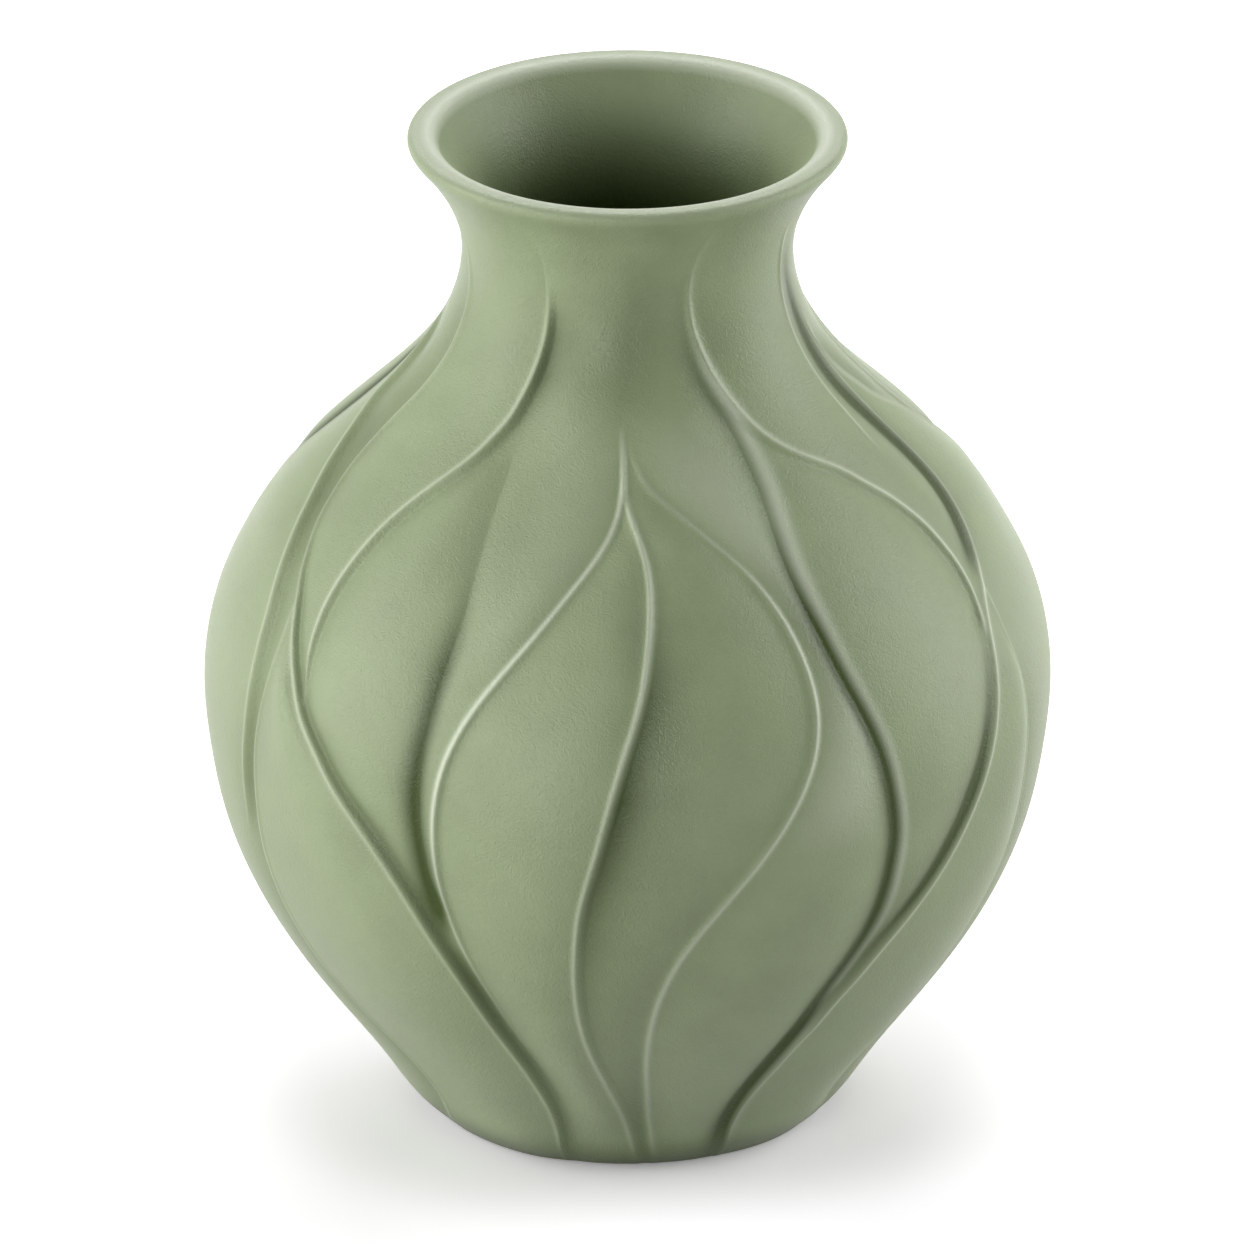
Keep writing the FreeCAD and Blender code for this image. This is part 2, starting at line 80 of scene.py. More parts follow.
# The wall's outline as shares of the height: radius, height. The underside runs outward from the middle,
# the outside up over the lip, the inside down to the floor, and the floor in again to the middle.
UNDER_SHARES = ((0.05, 0.0167), (0.17, 0.0167), (0.1815, 0.0160), (0.1820, 0.0110))
OUTER_SHARES = (
    (0.1820, 0.0055), (0.1838, 0.0024), (0.1875, 0.0020), (0.1915, 0.0048), (0.2033, 0.0153),
    (0.2308, 0.0513), (0.2739, 0.1097), (0.3230, 0.1757), (0.3613, 0.2413), (0.3870, 0.3063),
    (0.4008, 0.3723), (0.4066, 0.4363), (0.4006, 0.4960), (0.3806, 0.5553), (0.3441, 0.6187),
    (0.3093, 0.6603), (0.2733, 0.6950), (0.2320, 0.7340), (0.1970, 0.7753), (0.1773, 0.8100),
    (0.1657, 0.8417), (0.1603, 0.8783), (0.1633, 0.9070), (0.1773, 0.9427), (0.1893, 0.9620),
    (0.2010, 0.9770), (0.2090, 0.9868), (0.2113, 0.9925), (0.2098, 0.9972), (0.2035, 0.9998),
    (0.1950, 0.9996), (0.1868, 0.9968), (0.1822, 0.9922),
)
INNER_SHARES = (
    (0.1800, 0.9880), (0.1660, 0.9680), (0.1500, 0.9370), (0.1395, 0.8980), (0.1383, 0.8650),
    (0.1450, 0.8300), (0.1650, 0.7800), (0.2020, 0.7280), (0.2590, 0.6700), (0.3130, 0.6100),
    (0.3560, 0.5350), (0.3790, 0.4400), (0.3700, 0.3400), (0.3330, 0.2440), (0.2830, 0.1660),
    (0.2350, 0.0950), (0.2080, 0.0600), (0.1900, 0.0470), (0.1650, 0.0433),
)
INSIDE_FLOOR_SHARES = ((0.10, 0.0433), (0.05, 0.0433))

# The foot ring's outline as shares of the height, the turns in degrees of its rounded lower edges from a
# flank to the ground, and how many columns go round it
RING_INNER_SHARE = 0.1560
RING_OUTER_SHARE = 0.1815
RING_TOP_SHARE = 0.0172
RING_ROUND_SHARE = 0.004
RING_ROUND_TURNS = (0, 30, 60, 90)
RING_COLUMNS = 256

# Where the relief ends below the lip and how much of it is left at the foot
RELIEF_TOP_SHARE = 0.985
RELIEF_TOP_FADE_SHARE = 0.03
RELIEF_FOOT_SHARE = 0.004
RELIEF_FOOT_FADE_SHARE = 0.05
RELIEF_AT_FOOT = 0.12

# How pale the lip is painted, as thinned glaze and painted highlight, and most of all round the lip's inner
# edge, where the painted highlight is strongest
LIP_THIN_AND_HIGHLIGHT = 0.26
LIP_SHARE = 0.9935
LIP_FADE_SHARE = 0.006
LIP_EDGE_SHARE = 0.1885
LIP_EDGE_HALF_SHARE = 0.0072

# Painted shade in the glaze's dark colour: how dark it is painted low down, at the waist of the neck under
# the lip, and inside
FOOT_SHADE = 0.8
FOOT_SHADE_SHARE = 0.05
WAIST_SHADE = 0.13
WAIST_SHARE = 0.85
WAIST_HALF_SHARE = 0.07
INSIDE_SHADE = 0.85
INSIDE_SHARE = 0.975
INSIDE_FADE_SHARE = 0.12

# Glaze colours: on the flats; pale, where it thins over a raised edge and as a painted highlight on crests,
# banks and the lip; and dark, for glaze pooling in grooves and as painted shade in grooves, by the foot,
# under the lip and inside. Then how glossy it is, and the range of its roughness.
GLAZE = (0.328, 0.395, 0.230)
THIN_GLAZE_AND_HIGHLIGHT = (0.640, 0.700, 0.540)
POOLED_GLAZE_AND_SHADE = (0.036, 0.060, 0.004)
GLAZE_GLOSS = 0.33
GLAZE_ROUGHNESS = (0.35, 0.45)

# A soft cloudiness in the glaze, and its fine peel with its strength and its depth in metres
CLOUD = {"Scale": 55.0, "Detail": 3.0, "Roughness": 0.55}
CLOUD_TONES = (0.94, 1.06)
PEEL = {"Scale": 760.0, "Detail": 1.0, "Roughness": 0.5, "Distortion": 1.6}
PEEL_STRENGTH = 1.0
PEEL_DEPTH = 0.0002

# Bare fired clay, and its grain with its strength and its depth in metres
BARE_CLAY = (0.62, 0.55, 0.44)
CLAY_ROUGHNESS = 0.9
CLAY_GRAIN = {"Scale": 900.0, "Detail": 4.0}
CLAY_TONES = (0.86, 1.08)
CLAY_STRENGTH = 0.5
CLAY_DEPTH = 0.0002

# The range that most of the noise in a material lies in
NOISE_LOW = 0.3
NOISE_HIGH = 0.7

# Lamps: how far off they all stand in metres, and for each its name, degrees round from the front,
# degrees up, size in metres and power in watts, and the point that they face
LAMP_DISTANCE = 1.5
LAMPS = (
    ("left_lamp", -79, 17, (1.3, 1.5), 19.8),
    ("right_lamp", 95, 17, (1.0, 1.5), 19.0),
    ("back_lamp", 180, 45, (1.2, 0.9), 13.5),
    ("front_lamp", -24, 8, (0.9, 0.5), 7.4),
)
LAMP_AIM = (0, 0, 0.5 * HEIGHT)

# Floor: half its width in metres, how pale it is to the light and to the eye, and how it glows to the eye.
# The glow is faint under the vase, rises twice with the distance from a point behind the axis, and is
# white far off. The nearer rise shows in the view itself alone, and the further one in reflections too.
WHITE = (1, 1, 1)
FLOOR_HALF_WIDTH = 60.0
FLOOR_TONE = (0.55, 0.55, 0.55)
FLOOR_SEEN_TONE = (1.12, 1.085, 1.15)
FLOOR_MIDDLE = (0.0, 0.067 * HEIGHT, 0.0)
FLOOR_GLOW = 0.165
FLOOR_NEAR_RAMP = (0.290 * HEIGHT, 0.450 * HEIGHT)
FLOOR_NEAR_GLOW = 0.385
FLOOR_FAR_RAMP = (0.9 * HEIGHT, 3.5 * HEIGHT)
FLOOR_FAR_GLOW = 1.0
SEEN_RAYS = ("Is Camera Ray",)
SEEN_AND_MIRRORED_RAYS = ("Is Camera Ray", "Is Glossy Ray", "Is Transmission Ray")

# The relief repeats each half turn, and its lines are read in degrees
HALF_TURN = 180.0
FULL_TURN = 360.0

# The relief's lines, as height share and degrees round from the front, from below upward
LINES = {
    "centre_left": (
        (0.012, -17.6), (0.032, -16.4), (0.057, -15.6), (0.083, -15.3), (0.108, -15.5),
        (0.135, -16.5), (0.159, -17.9), (0.18, -19.3), (0.21, -20.7), (0.255, -23.1),
        (0.305, -25.3), (0.36, -27.2), (0.42, -27.7), (0.49, -26.4), (0.55, -22.6), (0.616, -15.0),
        (0.652, -10.0), (0.679, -5.7), (0.70, -2.9), (0.718, -1.5), (0.745, -1.0), (0.772, -1.5),
    ),
    "midrib": (
        (0.015, 2.3), (0.051, 0.4), (0.078, -1.0), (0.105, -2.6), (0.162, -5.7), (0.192, -6.9),
        (0.225, -7.6), (0.255, -7.85), (0.285, -7.8), (0.315, -7.5), (0.35, -6.9), (0.411, -4.7),
        (0.472, -2.4), (0.52, -0.3), (0.571, 2.1), (0.60, 3.0), (0.625, 3.6), (0.646, 3.9),
        (0.664, 3.8), (0.682, 3.0), (0.697, 1.8), (0.712, 0.4), (0.727, -0.8),
    ),
    "centre_right": (
        (0.015, 7.9), (0.036, 6.5), (0.057, 5.6), (0.084, 4.65), (0.114, 4.1), (0.144, 3.6),
        (0.171, 3.5), (0.198, 3.7), (0.225, 4.2), (0.252, 5.1), (0.276, 6.3), (0.30, 7.9),
        (0.345, 12.2), (0.39, 17.3), (0.441, 22.5), (0.49, 26.3), (0.532, 28.1), (0.574, 28.1),
        (0.60, 27.3), (0.643, 24.4), (0.673, 20.0), (0.694, 15.0), (0.712, 10.0), (0.727, 5.6),
        (0.742, 2.8), (0.76, 0.9),
    ),
    "left_valley": (
        (0.30, -27.0), (0.33, -28.0), (0.36, -29.2), (0.39, -29.9), (0.42, -30.4), (0.45, -30.6),
        (0.49, -30.4), (0.535, -29.6), (0.571, -28.9), (0.60, -28.2), (0.625, -27.8),
        (0.649, -28.0), (0.69, -28.9), (0.74, -29.8),
    ),
    "left_strap_edge": (
        (0.495, -52.0), (0.523, -52.6), (0.55, -53.5), (0.589, -54.3), (0.61, -54.2),
        (0.631, -53.7), (0.652, -52.8), (0.67, -51.6), (0.685, -50.0), (0.70, -47.8),
        (0.715, -45.0), (0.74, -40.0), (0.7555, -37.5), (0.772, -35.0), (0.787, -33.5),
        (0.805, -31.9), (0.826, -30.4), (0.844, -29.5), (0.859, -29.1), (0.874, -29.0),
    ),
    "lower_left_edge": (
        (0.012, -18.8), (0.038, -18.0), (0.057, -17.8), (0.076, -18.0), (0.108, -19.0),
        (0.143, -20.5), (0.179, -22.5), (0.223, -25.0), (0.265, -27.5), (0.30, -30.0),
        (0.348, -34.0), (0.405, -40.0), (0.442, -45.0), (0.466, -48.0), (0.495, -52.0),
        (0.523, -55.0), (0.544, -57.2), (0.568, -59.6), (0.595, -62.3), (0.61, -64.3),
        (0.628, -66.6), (0.649, -69.5), (0.667, -71.35),
    ),
    "left_strap_left": (
        (0.56, -58.5), (0.58, -60.4), (0.61, -64.3), (0.628, -66.6), (0.649, -69.5),
        (0.667, -71.35), (0.688, -73.2), (0.706, -74.2), (0.724, -74.3), (0.745, -73.5),
        (0.769, -72.0), (0.79, -70.9), (0.808, -70.2), (0.832, -70.0), (0.853, -70.3),
        (0.871, -71.35), (0.8875, -72.8), (0.901, -74.4), (0.916, -80.3),
    ),
    "lower_left_left": (
        (0.012, -56.0), (0.032, -53.0), (0.048, -51.75), (0.07, -51.25), (0.089, -51.75),
        (0.112, -52.75), (0.134, -54.5), (0.179, -58.5), (0.233, -62.0), (0.297, -63.5),
        (0.364, -63.85), (0.43, -63.2), (0.505, -61.8), (0.565, -61.1), (0.59, -61.6),
    ),
    "side_edge": (
        (0.335, -68.5), (0.357, -67.75), (0.383, -67.25), (0.415, -66.6), (0.451, -65.9),
        (0.484, -65.6), (0.514, -65.7), (0.541, -66.2), (0.565, -67.1), (0.589, -68.8),
        (0.613, -70.9), (0.634, -73.2), (0.655, -76.0), (0.673, -79.3), (0.688, -82.2),
        (0.71, -87.2), (0.73, -92.5), (0.745, -94.4), (0.761, -96.9), (0.783, -99.3),
        (0.80, -100.8),
    ),
    "right_strap_edge": (
        (0.543, 64.4), (0.559, 65.0), (0.578, 65.6), (0.599, 65.85), (0.62, 65.7), (0.638, 65.1),
        (0.655, 64.15), (0.669, 62.7), (0.683, 60.7), (0.697, 57.8), (0.716, 53.0), (0.736, 45.0),
        (0.759, 37.9), (0.786, 32.5), (0.817, 27.65), (0.834, 25.7), (0.851, 24.0), (0.87, 22.8),
        (0.888, 22.2), (0.904, 22.2), (0.926, 22.8), (0.947, 24.2), (0.972, 25.7),
    ),
    "right_valley": (
        (0.012, 25.0), (0.047, 24.2), (0.072, 24.5), (0.097, 25.5), (0.122, 26.9), (0.15, 28.6),
        (0.178, 30.1), (0.206, 31.3), (0.2335, 32.8), (0.258, 34.5), (0.283, 36.2), (0.308, 37.6),
        (0.336, 38.7), (0.367, 39.3), (0.395, 39.5), (0.426, 39.0), (0.457, 38.2), (0.487, 37.2),
        (0.516, 35.9), (0.565, 33.2), (0.615, 31.0), (0.65, 29.8), (0.674, 29.6), (0.72, 30.6),
        (0.739, 30.5), (0.761, 29.6), (0.78, 27.65), (0.795, 25.2), (0.817, 22.3), (0.8385, 19.9),
    ),
    "far_right_edge": (
        (0.012, 27.8), (0.035, 26.7), (0.0565, 26.6), (0.078, 27.2), (0.103, 28.6), (0.128, 30.3),
        (0.156, 32.0), (0.181, 34.0), (0.209, 35.9), (0.23, 37.9), (0.255, 40.3), (0.2925, 44.7),
        (0.342, 51.0), (0.395, 56.4), (0.446, 60.3), (0.505, 63.7), (0.535, 65.1), (0.56, 66.6),
        (0.59, 70.0), (0.621, 74.4), (0.64, 76.8), (0.658, 78.7), (0.6925, 80.45), (0.72, 80.7),
        (0.752, 80.45), (0.776, 79.7), (0.801, 78.7), (0.826, 77.8),
    ),
    "right_strap_valley": (
        (0.596, 68.8), (0.612, 70.5), (0.6335, 72.9), (0.652, 74.85), (0.671, 76.3), (0.6925, 77.0),
        (0.714, 76.8), (0.739, 75.8), (0.764, 74.6), (0.789, 73.9), (0.814, 73.6), (0.8385, 73.4),
        (0.888, 71.0),
    ),
    "neck_valley": (
        (0.74, 1.0), (0.80, 0.5), (0.86, 2.0), (0.93, 4.0),
    ),
    "right_strap_rib": (
        (0.708, 68.8), (0.739, 69.0), (0.764, 68.4), (0.789, 67.55), (0.814, 66.7), (0.845, 66.3),
        (0.876, 66.2), (0.904, 65.6), (0.929, 63.7),
    ),
    "lower_right_right": (
        (0.02, 61.5), (0.035, 60.3), (0.053, 59.0), (0.072, 59.5), (0.097, 61.2), (0.125, 63.7),
        (0.156, 66.1), (0.187, 67.3), (0.243, 69.0), (0.296, 71.2), (0.361, 72.2), (0.43, 71.7),
        (0.495, 70.8), (0.55, 69.6), (0.584, 69.5),
    ),
}

# Leaf edges, in millimetres at the nominal height. Across an edge: the crest's half width, and for each
# side how far off the drop beside it is deepest and how slowly that recovers. Rows along it: height share,
# crest height, how pale the crest is painted (thinned glaze and painted highlight), depth at its left and
# at its right, how dark the drops are painted (glaze pooling and painted shade), and how wide the drops
# are.
# The ends are where it fades in, over what share, and the same above.
Edge = namedtuple("Edge", "crest_half left_drop right_drop ends rows")
EDGES = {
    "centre_left": Edge(
        crest_half=0.9, left_drop=(2.5, 4.0), right_drop=(2.8, 5.0), ends=(0.0, 0.02, 0.785, 0.04),
        rows=(
            (0.10, 0.00, 0.00, 0.00, 0.00, 0.0, 1.0), (0.15, 0.20, 0.00, 0.10, 0.00, 0.6, 1.0),
            (0.25, 0.40, 0.60, 0.25, 0.05, 0.8, 1.0), (0.345, 0.65, 1.00, 0.20, 0.35, 0.3, 1.0),
            (0.44, 0.65, 1.00, 0.10, 0.50, 0.2, 1.0), (0.535, 0.65, 1.00, 0.15, 0.45, 0.2, 1.0),
            (0.63, 0.60, 0.85, 0.00, 0.35, 0.2, 1.0), (0.70, 0.70, 0.90, 0.00, 0.15, 0.0, 1.0),
            (0.76, 0.70, 0.60, 0.00, 0.10, 0.0, 1.0),
        ),
    ),
    "midrib": Edge(
        crest_half=0.8, left_drop=(3.6, 4.0), right_drop=(3.2, 7.0), ends=(0.0, 0.02, 0.755, 0.05),
        rows=(
            (0.06, 0.40, 0.35, 0.10, 0.80, 0.70, 0.9), (0.17, 0.45, 0.40, 0.05, 1.00, 0.55, 0.9),
            (0.27, 0.45, 0.40, 0.00, 1.30, 0.65, 1.0), (0.37, 0.45, 0.40, 0.00, 1.60, 0.90, 1.0),
            (0.47, 0.50, 0.45, 0.00, 1.75, 1.15, 1.0), (0.57, 0.70, 0.80, 0.20, 1.40, 1.00, 0.8),
            (0.64, 0.90, 0.80, 0.60, 0.95, 0.25, 1.0), (0.69, 0.90, 0.80, 0.50, 0.55, 0.10, 1.0),
            (0.73, 0.60, 0.50, 0.30, 0.20, 0.00, 1.0),
        ),
    ),
    "centre_right": Edge(
        crest_half=0.9, left_drop=(3.6, 7.0), right_drop=(3.0, 5.0), ends=(0.0, 0.02, 0.775, 0.04),
        rows=(
            (0.06, 0.45, 0.50, 0.55, 0.10, 0.90, 0.8), (0.155, 0.60, 0.80, 0.35, 0.10, 0.80, 0.8),
            (0.245, 0.60, 0.80, 0.30, 0.15, 0.70, 1.0), (0.34, 0.60, 0.75, 0.35, 0.20, 0.80, 1.0),
            (0.435, 0.60, 0.70, 0.45, 0.05, 0.60, 1.0), (0.525, 0.65, 1.00, 0.50, 0.00, 0.40, 1.0),
            (0.62, 0.70, 0.90, 0.50, 0.10, 0.20, 1.0), (0.67, 0.60, 0.50, 0.30, 0.10, 0.0, 1.0),
            (0.715, 0.55, 0.35, 0.15, 0.15, 0.0, 1.0), (0.75, 0.35, 0.15, 0.10, 0.10, 0.0, 1.0),
        ),
    ),
    "left_strap_edge": Edge(
        crest_half=0.9, left_drop=(4.0, 5.0), right_drop=(2.8, 5.0),
        ends=(0.492, 0.04, 0.905, 0.045),
        rows=(
            (0.50, 0.40, 0.40, 0.10, 0.10, 0.20, 0.35), (0.53, 0.50, 0.60, 0.25, 0.60, 0.20, 0.35),
            (0.58, 0.50, 0.80, 0.25, 1.20, 0.15, 0.8), (0.70, 0.50, 0.75, 0.05, 1.70, 0.08, 1.0),
            (0.76, 0.50, 0.60, 0.05, 2.10, 0.20, 1.1), (0.81, 0.50, 0.45, 0.05, 2.40, 0.48, 1.3),
            (0.85, 0.45, 0.25, 0.05, 1.80, 0.50, 1.5), (0.88, 0.30, 0.10, 0.05, 1.20, 0.30, 1.5),
        ),
    ),
    "lower_left_edge": Edge(
        crest_half=0.8, left_drop=(3.0, 4.0), right_drop=(2.8, 3.6), ends=(0.0, 0.02, 0.655, 0.085),
        rows=(
            (0.06, 0.30, 0.15, 0.00, 1.30, 0.75, 1.0), (0.16, 0.30, 0.15, 0.00, 1.80, 0.75, 1.0),
            (0.255, 0.30, 0.15, 0.00, 2.10, 0.70, 1.0), (0.35, 0.35, 0.25, 0.00, 2.00, 0.60, 1.0),
            (0.45, 0.40, 0.45, 0.00, 1.90, 0.65, 0.9), (0.52, 0.40, 0.50, 0.00, 1.60, 0.65, 0.75),
            (0.56, 0.40, 0.50, 0.00, 1.30, 0.50, 0.6), (0.60, 0.40, 0.50, 0.00, 1.00, 0.45, 0.5),
        ),
    ),
    "left_strap_left": Edge(
        crest_half=0.9, left_drop=(2.4, 6.0), right_drop=(2.8, 5.0), ends=(0.57, 0.06, 0.94, 0.12),
        rows=(
            (0.59, 0.40, 0.70, 0.15, 0.20, 0.50, 0.6), (0.62, 0.50, 0.85, 0.40, 0.20, 0.50, 0.8),
            (0.74, 0.60, 1.00, 0.80, 0.05, 0.70, 1.0), (0.86, 0.50, 0.70, 0.55, 0.15, 0.60, 1.0),
        ),
    ),
    "lower_left_left": Edge(
        crest_half=0.9, left_drop=(2.8, 5.0), right_drop=(3.0, 4.0), ends=(0.0, 0.02, 0.60, 0.04),
        rows=(
            (0.06, 0.25, 0.30, 0.70, 0.00, 0.8, 1.0), (0.155, 0.30, 0.60, 0.90, 0.00, 0.7, 1.0),
            (0.25, 0.35, 0.80, 0.90, 0.00, 0.6, 1.0), (0.35, 0.40, 1.00, 1.00, 0.00, 0.5, 1.0),
            (0.45, 0.40, 1.00, 0.90, 0.00, 0.3, 1.0), (0.54, 0.40, 0.40, 0.20, 0.00, 0.0, 1.0),
        ),
    ),
    "side_edge": Edge(
        crest_half=0.9, left_drop=(3.0, 4.0), right_drop=(3.4, 4.5), ends=(0.32, 0.08, 0.83, 0.06),
        rows=(
            (0.38, 0.40, 0.15, 0.00, 0.90, 0.6, 1.0), (0.47, 0.50, 0.30, 0.00, 1.20, 0.5, 1.0),
            (0.56, 0.50, 0.40, 0.00, 1.30, 0.5, 1.0), (0.66, 0.45, 0.40, 0.00, 1.20, 0.6, 1.2),
            (0.75, 0.50, 0.60, 0.00, 1.00, 0.6, 1.2),
        ),
    ),
    "right_strap_edge": Edge(
        crest_half=0.95, left_drop=(3.0, 5.0), right_drop=(3.4, 5.0),
        ends=(0.54, 0.03, 0.995, 0.14),
        rows=(
            (0.595, 0.50, 1.00, 0.90, 0.05, 0.10, 0.9), (0.70, 0.50, 0.95, 0.95, 0.05, 0.05, 1.0),
            (0.76, 0.60, 0.85, 1.00, 0.15, 0.15, 1.0), (0.81, 0.80, 0.80, 0.90, 0.40, 0.30, 1.0),
            (0.86, 0.65, 0.35, 0.60, 0.40, 0.45, 1.2), (0.915, 0.45, 0.15, 0.40, 0.20, 0.40, 1.3),
        ),
    ),
    "far_right_edge": Edge(
        crest_half=1.0, left_drop=(4.6, 3.2), right_drop=(3.0, 4.0), ends=(0.0, 0.02, 0.86, 0.08),
        rows=(
            (0.055, 0.50, 0.45, 0.60, 0.10, 1.5, 0.8), (0.145, 0.45, 0.50, 0.80, 0.05, 1.4, 1.0),
            (0.235, 0.45, 0.50, 0.90, 0.05, 1.1, 0.8), (0.325, 0.45, 0.50, 1.30, 0.00, 1.7, 1.0),
            (0.415, 0.45, 0.60, 1.30, 0.00, 2.2, 1.1), (0.505, 0.45, 0.70, 1.00, 0.00, 1.4, 0.9),
            (0.56, 0.45, 0.90, 0.60, 0.00, 0.8, 0.8), (0.60, 0.40, 0.90, 0.30, 0.00, 0.3, 0.8),
            (0.695, 0.30, 0.60, 0.00, 0.00, 0.0, 1.0),
        ),
    ),
    "right_strap_rib": Edge(
        crest_half=0.9, left_drop=(2.5, 3.0), right_drop=(2.5, 3.0), ends=(0.70, 0.05, 0.95, 0.06),
        rows=(
            (0.765, 0.30, 0.50, 0.00, 0.10, 0.2, 1.0), (0.875, 0.45, 0.50, 0.00, 0.25, 0.3, 1.0),
        ),
    ),
    "lower_right_right": Edge(
        crest_half=0.9, left_drop=(3.0, 4.0), right_drop=(2.2, 4.0), ends=(0.0, 0.02, 0.60, 0.05),
        rows=(
            (0.065, 0.35, 0.10, 0.00, 0.55, 0.6, 1.0), (0.255, 0.35, 0.15, 0.00, 0.60, 0.5, 1.0),
            (0.35, 0.45, 0.25, 0.00, 0.70, 0.5, 1.0), (0.445, 0.45, 0.25, 0.00, 0.60, 0.4, 1.0),
            (0.535, 0.45, 0.25, 0.00, 0.30, 0.2, 1.0),
        ),
    ),
}

# Valleys between leaves, in millimetres at the nominal height. Across a valley: half widths at the left
# and the right of the trough, of the broad fold round it, and of the dark paint in it (glaze pooling and
# painted shade). Rows along it: height share, depth of the trough, depth of the fold, height of the right
# bank, how dark the trough is painted (glaze pooling and painted shade), how pale the bank is painted as a
# highlight, and the bank's half width.
Valley = namedtuple("Valley", "trough_halves fold_halves pool_halves ends rows")
VALLEYS = {
    "left_valley": Valley(
        trough_halves=(3.4, 3.4), fold_halves=(10.0, 5.0), pool_halves=(3.8, 3.6),
        ends=(0.29, 0.05, 0.80, 0.14),
        rows=(
            (0.31, 0.60, 0.40, 0.0, 0.80, 0.0, 1.7), (0.345, 1.00, 0.80, 0.0, 0.95, 0.0, 1.7),
            (0.45, 1.30, 1.00, 0.0, 1.15, 0.0, 1.7), (0.58, 1.00, 1.00, 0.0, 0.90, 0.0, 1.7),
            (0.62, 0.70, 0.90, 0.0, 0.48, 0.0, 1.7), (0.66, 0.30, 0.80, 0.0, 0.16, 0.0, 1.7),
            (0.74, 0.10, 0.50, 0.0, 0.05, 0.0, 1.7),
        ),
    ),
    "right_valley": Valley(
        trough_halves=(3.2, 3.0), fold_halves=(6.0, 4.6), pool_halves=(3.9, 2.6),
        ends=(0.0, 0.02, 0.86, 0.08),
        rows=(
            (0.055, 0.30, 0.20, 0.05, 0.85, 0.30, 1.7), (0.15, 0.45, 0.30, 0.10, 1.00, 0.50, 1.7),
            (0.245, 0.45, 0.35, 0.15, 1.00, 0.60, 1.5), (0.335, 0.50, 0.40, 0.20, 1.10, 0.80, 1.5),
            (0.425, 0.55, 0.45, 0.25, 1.20, 0.85, 1.6), (0.515, 0.55, 0.45, 0.25, 1.25, 0.75, 1.7),
            (0.605, 0.50, 0.40, 0.25, 1.20, 0.85, 2.0), (0.65, 0.35, 0.35, 0.30, 0.80, 0.95, 2.5),
            (0.70, 0.25, 0.30, 0.35, 0.40, 1.00, 2.8), (0.795, 0.25, 0.30, 0.35, 0.50, 0.90, 2.4),
        ),
    ),
    # Down the middle of the neck: a shallow trough whose darkness is mostly painted shade.
    "neck_valley": Valley(
        trough_halves=(5.0, 5.0), fold_halves=(11.0, 13.0), pool_halves=(7.0, 9.0),
        ends=(0.755, 0.05, 0.955, 0.09),
        rows=(
            (0.77, 0.10, 0.20, 0.0, 0.18, 0.0, 2.0), (0.82, 0.20, 0.30, 0.0, 0.26, 0.0, 2.0),
            (0.88, 0.15, 0.30, 0.0, 0.24, 0.0, 2.0),
        ),
    ),
    "right_strap_valley": Valley(
        trough_halves=(3.0, 3.0), fold_halves=(6.0, 6.0), pool_halves=(3.6, 4.2),
        ends=(0.585, 0.03, 0.93, 0.10),
        rows=(
            (0.60, 0.25, 0.15, 0.0, 0.80, 0.3, 2.5), (0.645, 0.40, 0.20, 0.0, 1.20, 0.4, 2.5),
            (0.74, 0.50, 0.30, 0.0, 1.40, 0.4, 2.5), (0.84, 0.40, 0.20, 0.0, 0.90, 0.3, 2.5),
        ),
    ),
}

# How far off the trough the bank stands, how round the trough is, and how deep a drop is painted as dark
# as its row gives (glaze pooling and painted shade)
BANK_PLACE = 3.3
TROUGH_POWER = 1.6
POOL_AND_SHADE_DEPTH = 2.0

# An edge stands proud, so from the front it looks further out than its foot. It is therefore set nearer
# to the middle, by LEAN millimetres from LEAN_ANGLE degrees on. A trough is sunk and looks further in, so
# it is set outward by VALLEY_LEAN times the tangent of its angle, which is kept within MOST_SLANT.
LEAN = 0.8
LEAN_ANGLE = 20.0
VALLEY_LEAN = 0.24
MOST_SLANT = 4.0

# Leaves that swell between two lines: left line, right line, height in millimetres, how far across it is
# highest, lowest and highest share, and how pale it is painted where it is highest, as a painted highlight
Field = namedtuple("Field", "left right height peak low high tint")
FIELDS = (
    Field("centre_left", "midrib", 1.2, 0.70, 0.02, 0.74, 0.0),
    Field("centre_left", "centre_right", 1.5, 0.45, 0.02, 0.74, 0.0),
    Field("midrib", "centre_right", 1.2, 0.50, 0.02, 0.76, 0.0),
    Field("centre_right", "right_valley", 1.6, 0.55, 0.02, 0.46, 0.0),
    Field("centre_right", "right_valley", 1.6, 0.55, 0.38, 0.80, 0.40),
    Field("left_valley", "centre_left", 1.6, 0.70, 0.56, 0.82, 0.15),
    Field("lower_left_left", "lower_left_edge", 2.2, 0.70, 0.0, 0.59, 0.0),
    Field("lower_left_edge", "left_valley", 1.6, 0.45, 0.40, 0.58, 0.0),
    Field("left_strap_edge", "left_valley", 1.6, 0.45, 0.50, 0.78, 0.0),
    Field("left_strap_left", "left_strap_edge", 1.0, 0.60, 0.56, 0.93, 0.0),
    Field("left_strap_edge", "right_strap_edge", 1.4, 0.35, 0.73, 0.98, 0.0),
    Field("right_valley", "right_strap_edge", 1.6, 0.50, 0.55, 0.79, 0.0),
    Field("right_valley", "far_right_edge", 1.4, 0.50, 0.26, 0.63, 0.0),
    Field("right_strap_edge", "right_strap_valley", 0.9, 0.50, 0.59, 0.93, 0.0),
    Field("far_right_edge", "lower_right_right", 2.0, 0.60, 0.0, 0.58, 0.0),
    Field("lower_right_right", "lower_left_left", 1.0, 0.50, 0.0, 0.60, 0.0),
    Field("far_right_edge", "left_strap_left", 1.0, 0.50, 0.56, 0.80, 0.0),
)
FIELD_FADE_SHARE = 0.08

# How wide a leaf is in millimetres when it swells in full, and how narrow in degrees when it doesn't swell
FIELD_FULL_WIDTH = 18.0
FIELD_LEAST_ANGLE = 0.5


